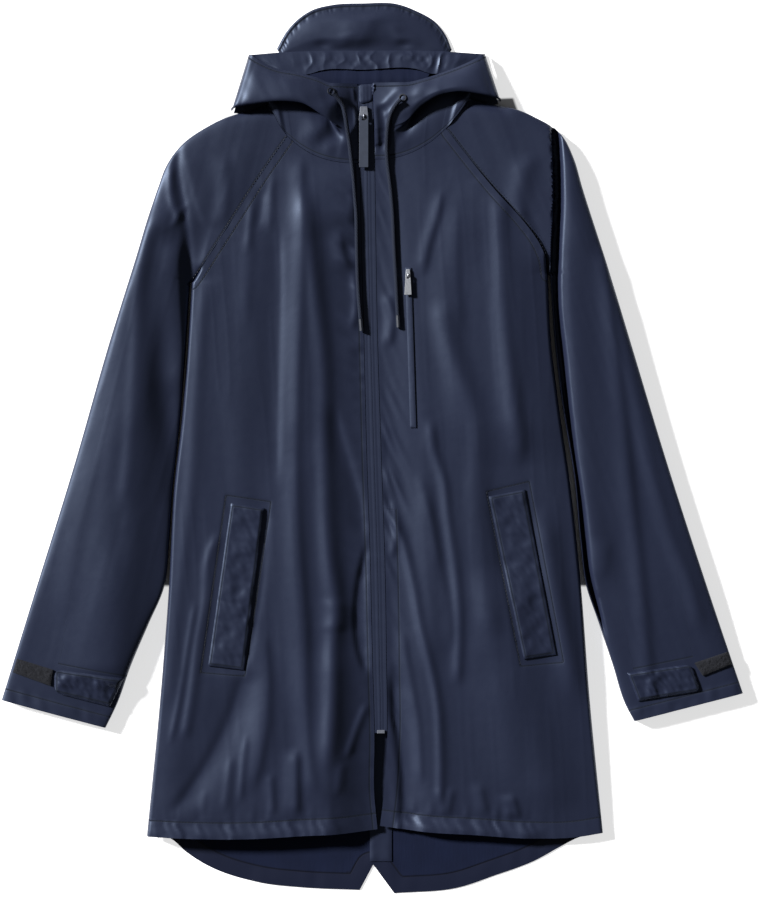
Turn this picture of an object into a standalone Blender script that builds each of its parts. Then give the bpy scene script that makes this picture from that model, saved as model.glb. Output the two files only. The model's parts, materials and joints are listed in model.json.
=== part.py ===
"""Hooded raincoat laid flat, front side up.

World axes: +X to the wearer's left, +Y towards the hood, +Z up, metres.  The coat rests on z = 0.
Tables and shape functions are in millimetres, and meshes are made in metres.
Every cut-and-sewn piece is one closed wall of cloth, worked out as a grid between its seam lines.
"""

from collections import namedtuple

import bmesh
import bpy
import numpy as np
from mathutils import Matrix, Vector
from mathutils.bvhtree import BVHTree

# ---------------------------------------------------------------- driving dimensions (mm)

MM = 0.001
CLOTH = 1.2            # wall of coated cloth
DOUBLE = 2.2           # welts, tabs and peak: two layers and their stiffener
SEAM = 0.3             # gap between neighbouring pieces
LAID = 0.6             # gap below a piece that lies on a panel, so that their facets never meet
SIDE_HEIGHT = 9.0      # height of the side seams
SIDE_ROLL = 34.0       # width over which a front rounds down to its side seam
BACK_ROLL = 24.0       # width over which the back curls up to its side seam
ZIP_ROLL = 60.0        # width over which a front settles to the height of the zip
ARM_MIDDLE = 7.6       # height of a sleeve's two fold lines
ARM_RISE = 13.5        # how far a sleeve's upper layer puffs above its fold lines
CUFF_RISE = 8.5        # the same at the cuff
CORD_WIDTH = 5.0

SIDE_ROWS = 14         # rows between hem and armpit
RAGLAN_ROWS = 7        # rows between armpit and neck
FRONT_COLUMNS = 17
ARM_COLUMNS = 10       # columns across one layer of a sleeve
NECK_COLUMNS = 4       # columns of a hood side along the shoulder's part of the neck

LEFT, RIGHT = "left", "right"

# ---------------------------------------------------------------- seams and outlines (mm)
# x_r, y_r is the wearer's right side and x_l, y_l the left: the coat does not lie quite evenly.

Seam = namedtuple("Seam", "x_r y_r x_l y_l")

SIDE_SEAM = (
    Seam(-265, -457, 273, -454),
    Seam(-250, -303, 258, -303),
    Seam(-239, -164, 246, -150),
    Seam(-233, -50, 234, -40),
    Seam(-224, 30, 220, 57),
    Seam(-217, 116, 212, 124),
    Seam(-212, 195, 208, 204),
)
RAGLAN = (
    Seam(-212, 195, 208, 204),
    Seam(-204, 206, 206, 219),
    Seam(-188, 231, 198, 239),
    Seam(-165, 267, 179, 266),
    Seam(-132, 319, 150, 298),
    Seam(-99, 367, 88, 376),
)
BACK_RAGLAN = (
    Seam(-212, 195, 208, 204),
    Seam(-186, 236, 182, 243),
    Seam(-140, 330, 136, 335),
    Seam(-92, 414.5, 86, 418.5),
)
FRONT_NECK = (
    Seam(-99, 367, 88, 376),
    Seam(-82, 353, 69, 360),
    Seam(-58, 341, 45, 347),
    Seam(-35, 336, 23, 341),
    Seam(-14, 335, 4, 340),
)
SHOULDER_NECK = (
    Seam(-99, 367, 88, 376),
    Seam(-108, 380, 99, 389),
    Seam(-115, 393, 108, 401),
    Seam(-122, 406, 116, 413),
)
ZIP_EDGE = (
    Seam(7, -450, 10, -446),
    Seam(3, -405, 15, -405),
    Seam(3.4, -345, 18.6, -345),
    Seam(1, -250, 18, -250),
    Seam(-1.5, -140, 16.3, -140),
    Seam(-6, 0, 11.6, 0),
    Seam(-9.4, 142, 7.2, 142),
    Seam(-12.4, 250, 5.4, 250),
    Seam(-14, 335, 4, 340),
    Seam(-16, 377, 3, 377),
    Seam(-17, 429, 1, 430),
)
FRONT_HEM = (
    Seam(-265, -457, 273, -454),
    Seam(-204, -459.5, 241, -459),
    Seam(-143, -459.5, 182, -460),
    Seam(-82, -456, 123, -456),
    Seam(-21, -453, 64, -452.5),
    Seam(7, -450, 10, -446),
)
BACK_HEM = (
    Seam(-265, -457, 273, -454),
    Seam(-238, -462, 247, -460),
    Seam(-218, -479, 221, -473),
    Seam(-194, -494, 196, -487),
    Seam(-133, -514, 143, -507),
    Seam(-82, -520, 104, -520),
    Seam(-14, -523, 27, -527),
)
NOTCH_TIP = (2.0, -493.0)
BACK_NECK = ((-92, 414.5), (-49, 425), (1, 428), (45, 425), (86, 418.5))

UNDERARM = (
    Seam(-314, -330, 310, -322),
    Seam(-301, -303, 300, -303),
    Seam(-284, -256, 285, -256),
    Seam(-264, -209, 268, -205),
    Seam(-245, -164, 253, -160),
    Seam(-239, -110, 246.5, -110),
    Seam(-235, -50, 240, -40),
    Seam(-226.5, 30, 224.5, 57),
    Seam(-219.5, 116, 216.5, 124),
    Seam(-214.5, 195, 211, 204),
)
SLEEVE_FOLD = (
    Seam(-436, -297, 438, -289),
    Seam(-394, -162, 395, -162),
    Seam(-350, -20, 349, -20),
    Seam(-309, 122, 306, 122),
    Seam(-279, 217, 277, 217),
    Seam(-251, 308, 248, 308),
    Seam(-242, 332, 238, 342),
    Seam(-226, 355, 225, 368),
    Seam(-188, 382, 187, 393),
    Seam(-122, 406, 116, 413),
)
ARMPIT_STATION = 4     # row of SLEEVE_FOLD that lies across the arm from the armpit

# Hood sides, a row for each station from the outer fold to the zip.  open_*: edge of the face opening.
# roll_*: rolled edge that hangs over the shoulder.  tip_*: where the cloth that runs back under the roll
# turns round to the neck.
HoodStation = namedtuple("HoodStation", "share open_x open_y open_z roll_x roll_y roll_z tip_x tip_y")
HOOD = {
    RIGHT: (
        HoodStation(0.00, -145, 465, 5.2, -165, 400, 5.2, -126, 421),
        HoodStation(0.04, -141, 462, 12, -161, 400.5, 15, -124, 423),
        HoodStation(0.10, -135, 458, 16, -152, 402, 23, -121, 424.5),
        HoodStation(0.19, -124, 452, 18, -137, 404, 27.5, -117, 424),
        HoodStation(0.32, -110, 446, 19, -112, 406.5, 29, -109, 421),
        HoodStation(0.48, -90, 442, 20, -84, 405, 29, -86, 420),
        HoodStation(0.64, -66, 436, 21, -60, 393, 27, -61.5, 405),
        HoodStation(0.80, -46, 429, 21, -42, 381, 23, -42.5, 386),
        HoodStation(1.00, -17, 429, 14, -16, 377, 15, -16, 377),
    ),
    LEFT: (
        HoodStation(0.00, 134, 466, 5.2, 152, 411, 5.2, 119, 429),
        HoodStation(0.04, 131, 463, 12, 149, 411.5, 15, 117, 431),
        HoodStation(0.10, 126, 460, 16, 141, 413, 23, 114.5, 432),
        HoodStation(0.19, 118, 456, 18, 127, 415.5, 27.5, 110.5, 432),
        HoodStation(0.32, 103, 449, 19, 104, 418, 29, 102, 432),
        HoodStation(0.48, 82, 441, 20, 80, 414, 29, 81, 429),
        HoodStation(0.64, 60, 434, 21, 60, 403, 27, 60, 415),
        HoodStation(0.80, 38, 430, 21, 40, 386, 23, 40, 391),
        HoodStation(1.00, 1, 430, 14, 3, 377, 15, 3, 377),
    ),
}
ROLL_DROPS = (-0.3, 1.8, 4.0, 5.0, 6.8, 8.6)     # below the roll, from its top round to the tip and back
ROLL_REACH = (3.5, 0.0, 3.0, -2.5, 0.0, 2.5)     # from the roll towards opening or tip, then from the tip
ROLL_RUNS = (0.0, 4.0, 8.0, 12.0, 16.0, 20.0)    # from the roll towards the neck where the cloth is plain
SHOULDER_CORNER = {RIGHT: (-1.5, 4.5), LEFT: (1.5, 4.5)}   # how far a hood side's outer corner is off the sleeve
HOOD_SWELL = 3.0       # how far a hood side puffs up between its opening and its roll
HOOD_TOP = ((-145, 465), (-110, 468), (-10, 470), (90, 469), (134, 466))
HOOD_FOOT = ((-165, 400), (-123, 408), (-92, 416.5), (-49, 426.5), (1, 429.5), (45, 426.5), (86, 420.5),
             (117, 415), (152, 411))
FACING_TOP = ((-139, 464), (-105, 467), (-10, 469), (88, 468), (128, 465))
FACING_FOOT = ((-118, 450), (-90, 442), (-10, 438), (70, 441), (106, 452))
VISOR_BASE = ((-106, 462), (-10, 462), (89, 462))
VISOR_RIM = ((-112, 472), (-100, 493), (-87, 507), (-70, 518), (-47, 524), (-10, 526),
             (31, 525), (53, 517), (74, 505), (88, 488), (95, 471))

# ---------------------------------------------------------------- heights and folds (mm)

# Height of a front's upper face, and of the zip, up the coat.
Level = namedtuple("Level", "y right left zip")
LEVELS = (
    Level(-460, 22, 12, 9),
    Level(-380, 22, 15, 11),
    Level(-300, 20, 18, 13),
    Level(-100, 20, 20, 15),
    Level(150, 21, 21, 16),
    Level(260, 20, 20, 16),
    Level(340, 17, 17, 15),
    Level(430, 15, 15, 14),
)

# Largest folds: a ridge (height above 0) or a trough (below 0) along a bowed line.
Fold = namedtuple("Fold", "x_top y_top x_foot y_foot bow width height")
FOLDS = (
    Fold(-83, 310, -78, -14, 2, 17, 5.0),
    Fold(-82, 20, -80, -345, -6, 19, 5.5),
    Fold(-48, 0, -44, -380, 3, 15, 4.0),
    Fold(-118, -226, -130, -400, 0, 17, 4.0),
    Fold(-150, -262, -232, -430, 6, 26, -7.0),
    Fold(-16, -100, -12, -420, 2, 17, -5.0),
    Fold(-122, 214, -120, -14, 0, 18, -3.0),
    Fold(112, 310, 108, 200, 0, 22, 3.5),
    Fold(163, 270, 166, -20, 3, 16, 4.0),
    Fold(70, 235, 114, 10, 0, 16, 4.5),
    Fold(52, -10, 66, -280, 6, 15, 4.5),
    Fold(82, 10, 110, -230, 6, 15, 4.5),
    Fold(122, -14, 138, -270, 6, 15, 4.0),
    Fold(145, -245, 166, -425, 0, 22, 5.0),
    Fold(-222, 352, -213, 196, 4, 10, -8.0),
    Fold(219, 366, 210, 204, -4, 10, -8.0),
    Fold(-246, 320, -288, -10, 8, 18, 3.5),
    Fold(-262, 230, -300, -160, -3, 13, -4.0),
    Fold(246, 300, 300, -120, -4, 18, 3.5),
)
FOLD_END = 60.0        # length over which a fold fades at each end
GATHERS = 10           # waves in the gathered band inside the hood
GATHER_DEPTH = 1.6

# ---------------------------------------------------------------- what lies on the panels (mm)

# Corners in order round the piece: two at the foot, then two at the top.
Quad = namedtuple("Quad", "foot_0 foot_1 top_1 top_0")
POCKET_WELT = {RIGHT: Quad((-192, -256), (-150, -261), (-126, -71), (-165, -65)),
               LEFT: Quad((179, -248), (217, -243), (180, -49), (138, -57))}
CUFF_TAB = {RIGHT: Quad((-373, -288), (-308, -305), (-291, -271), (-373, -260)),
            LEFT: Quad((314, -298), (388, -286), (376, -254), (301, -265))}
CUFF_STRIP = {RIGHT: Quad((-422, -264), (-377.5, -280), (-374.5, -261), (-417, -248)),
              LEFT: Quad((390, -268), (425, -254), (419, -240), (380, -253))}
CHEST_ZIP = Quad((45.5, 24), (52.5, 24), (46.5, 212), (39.5, 212))
GARAGE = Quad((-14, 405), (0, 409), (4.5, 429), (-14.5, 428))
VENT = Quad((-2, -489), (24, -489), (24, -330), (-2, -330))
NECK_FACING = Quad((-66, 422), (60, 422), (56, 441), (-62, 441))

# A slider's body starts at y and is length long; its pull hangs on an axis across the bail.
Slider = namedtuple("Slider", "x y width neck length height bail bail_wire axis_rise "
                              "pull_width pull_top pull_length pull_thickness window window_width")
MAIN_SLIDER = Slider(-9.0, 385.5, 12.0, 8.5, 16.5, 3.0, 2.4, 0.8, 1.4, 10.8, 10.8, 60.0, 1.6, 4.9, 4.4)
CHEST_SLIDER = Slider(43.0, 200.0, 6.4, 4.6, 10.0, 2.2, 1.9, 0.6, 1.1, 8.4, 5.6, 23.0, 1.2, 4.0, 3.0)
BAIL_SHARE = 0.28      # how far up the slider's body the bail's middle is
STOP_SIZE = (9.0, 4.0, 1.8)
STOP_PLACE = (11.2, -334.5)

EYELET_PLACE = {RIGHT: (-47.5, 418.5), LEFT: (37.0, 411.0)}
EYELET_RADIUS = 3.9
EYELET_WIRE = 0.9
CORD_ROUTE = {
    RIGHT: ((-45.0, 416.0, 30.0), (-41.5, 412.5, 28.8), (-38.0, 408.5, 27.6), (-34.0, 402.5, 26.2),
            (-31.0, 391.0, 24.8), (-28.5, 374.0, 21.5), (-26.0, 358.0, 19.6), (-24.0, 341.0, 18.8),
            (-22.0, 324.0, 18.7), (-20.0, 300.0, 19.0), (-18.0, 277.0, 19.3), (-17.0, 232.0, 19.6),
            (-15.5, 187.0, 19.7), (-12.8, 152.0, 19.7)),
    LEFT: ((34.5, 408.5, 30.8), (31.5, 405.8, 29.6), (28.0, 401.5, 27.4), (23.5, 394.0, 24.9),
           (20.0, 382.0, 22.5), (18.3, 366.0, 21.0), (18.0, 349.0, 19.6), (19.0, 333.0, 18.8),
           (21.0, 317.0, 19.2), (24.0, 289.0, 19.9), (27.0, 232.0, 20.9), (29.5, 187.0, 21.2),
           (31.0, 156.0, 21.4)),
}
CORD_POINTS = 27
TIP_LENGTH = 14.0
TIP_RADIUS = 2.7

COLLECTION = bpy.data.collections.new("raincoat")
TOOLS = bpy.data.collections.new("raincoat_tools")


# ---------------------------------------------------------------- curves, grids and heights


def side_points(table, side):
    """The plan points of a seam table for one side."""
    if side == RIGHT:
        return np.array([(row.x_r, row.y_r) for row in table], float)
    return np.array([(row.x_l, row.y_l) for row in table], float)


def ease_through(knots, values, at):
    """Cubic Hermite curve through values at rising knots, with the slopes of its neighbours' chords."""
    knots = np.asarray(knots, float)
    values = np.asarray(values, float).reshape(len(knots), -1)
    steps = np.diff(knots)[:, None]
    chords = np.diff(values, axis=0) / steps
    slopes = np.vstack([chords[:1], (chords[:-1] * steps[1:] + chords[1:] * steps[:-1])
                        / (steps[:-1] + steps[1:]), chords[-1:]])
    at = np.clip(np.asarray(at, float), knots[0], knots[-1])
    i = np.clip(np.searchsorted(knots, at, side="right") - 1, 0, len(knots) - 2)
    h = steps[i]
    s = (at - knots[i])[:, None] / h
    return ((2 * s**3 - 3 * s**2 + 1) * values[i] + (s**3 - 2 * s**2 + s) * h * slopes[i]
            + (-2 * s**3 + 3 * s**2) * values[i + 1] + (s**3 - s**2) * h * slopes[i + 1])


def chord_shares(points):
    """Share of a polyline's length at each of its points."""
    lengths = np.r_[0.0, np.cumsum(np.linalg.norm(np.diff(points, axis=0), axis=1))]
    return lengths / lengths[-1]


def smooth_curve(points, shares):
    """Points at shares of the length of a smooth curve through the given points."""
    points = np.asarray(points, float)
    return ease_through(chord_shares(points), points, shares)


def even(count):
    """Shares 0 to 1 in count equal steps."""
    return np.linspace(0.0, 1.0, count + 1)


def crowded_ends(count):
    """Shares 0 to 1 in count steps that crowd towards both ends."""
    return (1.0 - np.cos(np.pi * even(count))) / 2.0


def join(first, second):
    """Two lines that share a point, as one."""
    return np.concatenate([first, second[1:]])


def coons(foot, top, start, end, across, along):
    """Plan grid between four seam lines: the blends of opposite lines less the blend of the corners."""
    u = np.asarray(across)[None, :, None]
    v = np.asarray(along)[:, None, None]
    lines = (1 - v) * foot[None] + v * top[None] + (1 - u) * start[:, None] + u * end[:, None]
    corners = (1 - v) * ((1 - u) * foot[0] + u * foot[-1]) + v * ((1 - u) * top[0] + u * top[-1])
    return lines - corners


def smoothstep(low, high, value):
    t = np.clip((value - low) / (high - low), 0.0, 1.0)
    return t * t * (3.0 - 2.0 * t)


def round_rise(distance, width, power=2.5):
    """0 at an edge and 1 from width inwards, round between."""
    return 1.0 - (1.0 - np.clip(distance / width, 0.0, 1.0)) ** power


def fold_over(share):
    """1 inside, falling round to 0 at a fold line where share is 1."""
    return (1.0 - share**3.5) ** (1 / 3.5)


def fold_height(x, y):
    """Sum of the folds: each a bell across its bowed line, fading at both ends."""
    total = np.zeros_like(x)
    for fold in FOLDS:
        run = np.array([fold.x_foot - fold.x_top, fold.y_foot - fold.y_top], float)
        length = np.hypot(*run)
        run /= length
        along = (x - fold.x_top) * run[0] + (y - fold.y_top) * run[1]
        across = (x - fold.x_top) * run[1] - (y - fold.y_top) * run[0]
        across = across + fold.bow * np.sin(np.pi * np.clip(along / length, 0.0, 1.0))
        fade = smoothstep(0, FOLD_END, along) * smoothstep(0, FOLD_END, length - along)
        total += fold.height * fade * np.exp(-((across / fold.width) ** 2))
    return total


def level(column, y):
    """A height of the LEVELS table at y."""
    y = np.asarray(y, float)
    rows = [row.y for row in LEVELS]
    values = [getattr(row, column) for row in LEVELS]
    return ease_through(rows, values, y.ravel())[:, 0].reshape(y.shape)


def zip_edge(side, y):
    """Points of a front's zip edge at heights y up the coat."""
    points = side_points(ZIP_EDGE, side)
    return np.stack([ease_through(points[:, 1], points[:, 0], y)[:, 0], np.asarray(y, float)], axis=1)


def shifted(line, amount, towards):
    """A seam line moved square to itself, on the side where the plan point towards lies."""
    tangent = np.gradient(line, axis=0)
    normal = np.stack([-tangent[:, 1], tangent[:, 0]], axis=1)
    normal /= np.linalg.norm(normal, axis=1)[:, None]
    middle = len(line) // 2
    if np.dot(normal[middle], np.asarray(towards) - line[middle]) < 0:
        normal = -normal
    return line + normal * amount


CHEST = (0.0, 150.0)       # a plan point inside both fronts, which seams are shifted towards or away from


def raglan_seam(side):
    """The raglan seam in plan, its height without folds, and the share of the folds that reaches it."""
    line = smooth_curve(side_points(RAGLAN, side), even(RAGLAN_ROWS))
    rise = smoothstep(0.0, 0.45, even(RAGLAN_ROWS))
    height = ARM_MIDDLE + (level(side, line[:, 1]) - ARM_MIDDLE) * rise
    return line, height, rise


# ---------------------------------------------------------------- meshes


def clear_scene():
    for old in list(bpy.data.objects):
        bpy.data.objects.remove(old, do_unlink=True)
    for collection in (COLLECTION, TOOLS):
        bpy.context.scene.collection.children.link(collection)


def material(name, colour, roughness, metallic=0.0):
    made = bpy.data.materials.new(name)
    made.use_nodes = True
    shader = made.node_tree.nodes["Principled BSDF"]
    shader.inputs["Base Color"].default_value = (*colour, 1.0)
    shader.inputs["Roughness"].default_value = roughness
    shader.inputs["Metallic"].default_value = metallic
    return made


def add_object(name, mesh, finish):
    """A named object for a mesh, in the coat's collection."""
    mesh.materials.append(finish)
    made = bpy.data.objects.new(name, mesh)
    COLLECTION.objects.link(made)
    return made


def grid_faces(rows, columns):
    """Quads of a grid of points given row by row."""
    r, c = np.meshgrid(np.arange(rows - 1), np.arange(columns - 1), indexing="ij")
    a = (r * columns + c).ravel()
    return np.stack([a, a + 1, a + columns + 1, a + columns], axis=1)


def facing(points, faces, upwards):
    """The faces, all turned round if their sum does not face the way that is asked for."""
    p = points[faces]
    total = np.cross(p[:, 2] - p[:, 0], p[:, 3] - p[:, 1])[:, 2].sum()
    return faces if (total > 0) == upwards else faces[:, ::-1]


def point_normals(points, faces):
    """Unit normals at the points, summed from the faces round each."""
    p = points[faces]
    square = np.cross(p[:, 2] - p[:, 0], p[:, 3] - p[:, 1])
    normals = np.zeros_like(points)
    for corner in range(4):
        np.add.at(normals, faces[:, corner], square)
    return normals / np.maximum(np.linalg.norm(normals, axis=1), 1e-9)[:, None]


def cloth_wall(name, outer, faces, finish, upright=None, thickness=CLOTH):
    """A closed wall of cloth: the outer points, the same points moved in by the thickness, and a rim.

    upright marks points that move straight down (-1) or up (1) and not along their normal, so that
    the walls of two pieces meet squarely at a seam.
    """
    inward = -point_normals(outer, faces)
    if upright is not None:
        for sign in (-1, 1):
            inward[upright.ravel() == sign] = (0.0, 0.0, sign)
    used = np.unique(faces)
    place = np.full(len(outer), -1)
    place[used] = np.arange(len(used))
    faces = place[faces]
    faces = np.concatenate([faces[:, [0, 1, 2]], faces[:, [0, 2, 3]]])
    sides = {(a, b) for face in faces.tolist() for a, b in zip(face, face[1:] + face[:1])}
    count = len(used)
    rim = [(b, a, a + count, b + count) for a, b in sorted(sides) if (b, a) not in sides]
    points = np.vstack([outer[used], (outer + inward * thickness)[used]])
    mesh = bpy.data.meshes.new(name)
    mesh.from_pydata((points * MM).tolist(), [], faces.tolist() + (faces[:, ::-1] + count).tolist() + rim)
    return add_object(name, mesh, finish)


# ---------------------------------------------------------------- body


def front_grid(side):
    """Upper face of a front: rows from hem to neck, columns from the side to the zip."""
    across = even(FRONT_COLUMNS) ** 1.35
    raglan, seam_height, seam_folds = raglan_seam(side)
    raglan = shifted(raglan, SEAM / 2, CHEST)
    side_seam = smooth_curve(side_points(SIDE_SEAM, side), even(SIDE_ROWS))
    side_seam[-1] = raglan[0]
    outer_edge = join(side_seam, raglan)
    neck = shifted(smooth_curve(side_points(FRONT_NECK, side), across), SEAM / 2, CHEST)
    hem = smooth_curve(side_points(FRONT_HEM, side), across)
    edge_y = join(np.linspace(hem[-1, 1], 200, SIDE_ROWS + 1), np.linspace(200, neck[-1, 1], RAGLAN_ROWS + 1))
    inner_edge = zip_edge(side, edge_y)
    for line, start, end in ((hem, outer_edge[0], inner_edge[0]), (neck, outer_edge[-1], inner_edge[-1])):
        line[0], line[-1] = start, end
    along = (edge_y - edge_y[0]) / (edge_y[-1] - edge_y[0])
    plan = coons(hem, neck, outer_edge, inner_edge, across, along)
    x, y = plan[..., 0], plan[..., 1]
    rise = round_rise(np.abs(x - outer_edge[:, :1]), SIDE_ROLL)
    base = join(np.full(SIDE_ROWS + 1, SIDE_HEIGHT + CLOTH), seam_height)[:, None]
    reach = join(np.zeros(SIDE_ROWS + 1), seam_folds)[:, None]
    z = base + (level(side, y) - base) * rise + fold_height(x, y) * (reach + (1 - reach) * rise)
    to_zip = smoothstep(ZIP_ROLL, 0.0, np.abs(x - inner_edge[:, :1]))
    return np.dstack([plan, z + (level("zip", y) - z) * to_zip])


def add_front(side, finish):
    grid = front_grid(side)
    upright = np.zeros(grid.shape[:2], int)
    upright[SIDE_ROWS + 1:, 0] = upright[-1, :] = upright[:, -1] = -1
    points = grid.reshape(-1, 3)
    faces = facing(points, grid_faces(*grid.shape[:2]), upwards=True)
    return cloth_wall(f"front_{side}", points, faces, finish, upright)


def add_back(finish):
    """The back: flat on its outer side, curling up to the side seams, with a notch in its hem."""
    hem_shares = even(6) ** 1.2
    right, left = (smooth_curve(side_points(BACK_HEM, side), hem_shares) for side in (RIGHT, LEFT))
    hem = np.vstack([right, [NOTCH_TIP], left[::-1]])
    across = (hem[:, 0] - hem[0, 0]) / (hem[-1, 0] - hem[0, 0])
    neck = smooth_curve(BACK_NECK, across)
    edges = []
    for side in (RIGHT, LEFT):
        raglan = shifted(smooth_curve(side_points(BACK_RAGLAN, side), even(RAGLAN_ROWS)), SEAM / 2, CHEST)
        seam = smooth_curve(side_points(SIDE_SEAM, side), even(SIDE_ROWS))
        seam[-1] = raglan[0]
        edges.append(join(seam, raglan))
    neck[0], neck[-1] = edges[0][-1], edges[1][-1]
    along = (edges[0][:, 1] - edges[0][0, 1]) / (edges[0][-1, 1] - edges[0][0, 1])
    plan = coons(hem, neck, edges[0], edges[1], across, along)
    x = plan[..., 0]
    from_edge = np.minimum(x - x[:, :1], x[:, -1:] - x)
    curl = join(np.ones(SIDE_ROWS + 1), 1.0 - smoothstep(0.0, 0.3, even(RAGLAN_ROWS)))[:, None]
    z = (SIDE_HEIGHT - SEAM - CLOTH) * curl * (1.0 - round_rise(from_edge, BACK_ROLL))
    points = np.dstack([plan, z]).reshape(-1, 3)
    upright = np.zeros(x.shape, int)
    upright[SIDE_ROWS + 1:, 0] = upright[SIDE_ROWS + 1:, -1] = upright[-1, :] = 1
    faces = facing(points, grid_faces(*x.shape), upwards=False)
    return cloth_wall("back", points, faces, finish, upright)


# ---------------------------------------------------------------- sleeves


def sleeve_grid(side):
    """Outer face of a sleeve: rows from cuff to neck, columns round it from the front over the fold.

    Up to the armpit the first and last columns are the same line, under the arm.  Above it they part
    into the front and the back raglan seams.
    """
    away = side_points(SLEEVE_FOLD, side)[ARMPIT_STATION]
    fold_table = side_points(SLEEVE_FOLD, side)
    armpit_share = chord_shares(fold_table)[ARMPIT_STATION]
    fold = smooth_curve(fold_table, join(even(SIDE_ROWS) * armpit_share,
                                         armpit_share + (1 - armpit_share) * even(RAGLAN_ROWS)))
    underarm = smooth_curve(side_points(UNDERARM, side), even(SIDE_ROWS))
    raglan, seam_height, seam_folds = raglan_seam(side)
    back_raglan = smooth_curve(side_points(BACK_RAGLAN, side), even(RAGLAN_ROWS))
    across = crowded_ends(ARM_COLUMNS)
    cuff = underarm[0] + across[:, None] * (fold[0] - underarm[0])
    rows = SIDE_ROWS + RAGLAN_ROWS + 1
    shoulder = np.arange(rows) - SIDE_ROWS
    share = smoothstep(0.0, 4.0, shoulder)[:, None]
    puff = CUFF_RISE + (ARM_RISE - CUFF_RISE) * smoothstep(0.0, 0.2, even(rows - 1))[:, None]
    layers = []
    for seam, neck in ((raglan, smooth_curve(side_points(SHOULDER_NECK, side), across)),
                       (back_raglan, back_raglan[-1] + across[:, None] * (fold[-1] - back_raglan[-1]))):
        line = shifted(seam, SEAM / 2, away)
        line[0] = underarm[-1]
        neck = shifted(neck, SEAM / 2, away)
        neck[0], neck[-1] = line[-1], fold[-1]
        layers.append(coons(cuff, neck, join(underarm, line), fold, across, even(rows - 1)))
    s = across[None, :]
    hump = (1.0 - np.abs(2 * s - 1) ** 2.6) ** (1 / 2.6)
    over = fold_over(s)
    seam_z = join(np.full(SIDE_ROWS + 1, ARM_MIDDLE), seam_height)[:, None]
    reach = join(np.zeros(SIDE_ROWS + 1), seam_folds)[:, None]
    x, y = layers[0][..., 0], layers[0][..., 1]
    upper = (1 - share) * (ARM_MIDDLE + puff * hump) + share * (ARM_MIDDLE + (seam_z - ARM_MIDDLE) * over)
    upper += fold_height(x, y) * np.maximum(reach * over, np.minimum(hump, 1.0) * (1 - reach))
    upper[:, 0] = (seam_z + reach * fold_height(x[:, :1], y[:, :1]))[:, 0]
    lower = ARM_MIDDLE * ((1 - share) * (1 - hump) + share * (1 - over))
    lower_edge = ARM_MIDDLE * (1.0 - smoothstep(0.0, 2.0, shoulder))
    lower[:, 0] = lower_edge
    top = np.dstack([layers[0], upper])
    below = np.dstack([layers[1], lower])
    return np.concatenate([top, below[:, -2::-1]], axis=1)


def add_sleeve(side, finish):
    grid = sleeve_grid(side)
    rows, columns = grid.shape[:2]
    points = grid.reshape(-1, 3)
    faces = grid_faces(rows, columns)
    upper = faces[(faces[:, 0] % columns) < ARM_COLUMNS]
    if not np.array_equal(facing(points, upper, upwards=True), upper):
        faces = faces[:, ::-1]
    welded = np.arange(len(points))
    for row in range(SIDE_ROWS + 1):
        welded[row * columns + columns - 1] = row * columns
    upright = np.zeros((rows, columns), int)
    upright[SIDE_ROWS + 1:, 0] = upright[-1, :ARM_COLUMNS] = -1
    upright[SIDE_ROWS + 1:, -1] = upright[-1, ARM_COLUMNS + 1:] = 1
    return cloth_wall(f"sleeve_{side}", points, welded[faces], finish, upright)


# ---------------------------------------------------------------- hood


def plan_way(start, end):
    """Unit directions in plan from start points to end points."""
    way = (end - start) * (1, 1, 0)
    return way / np.maximum(np.linalg.norm(way, axis=1), 1e-9)[:, None]


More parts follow.
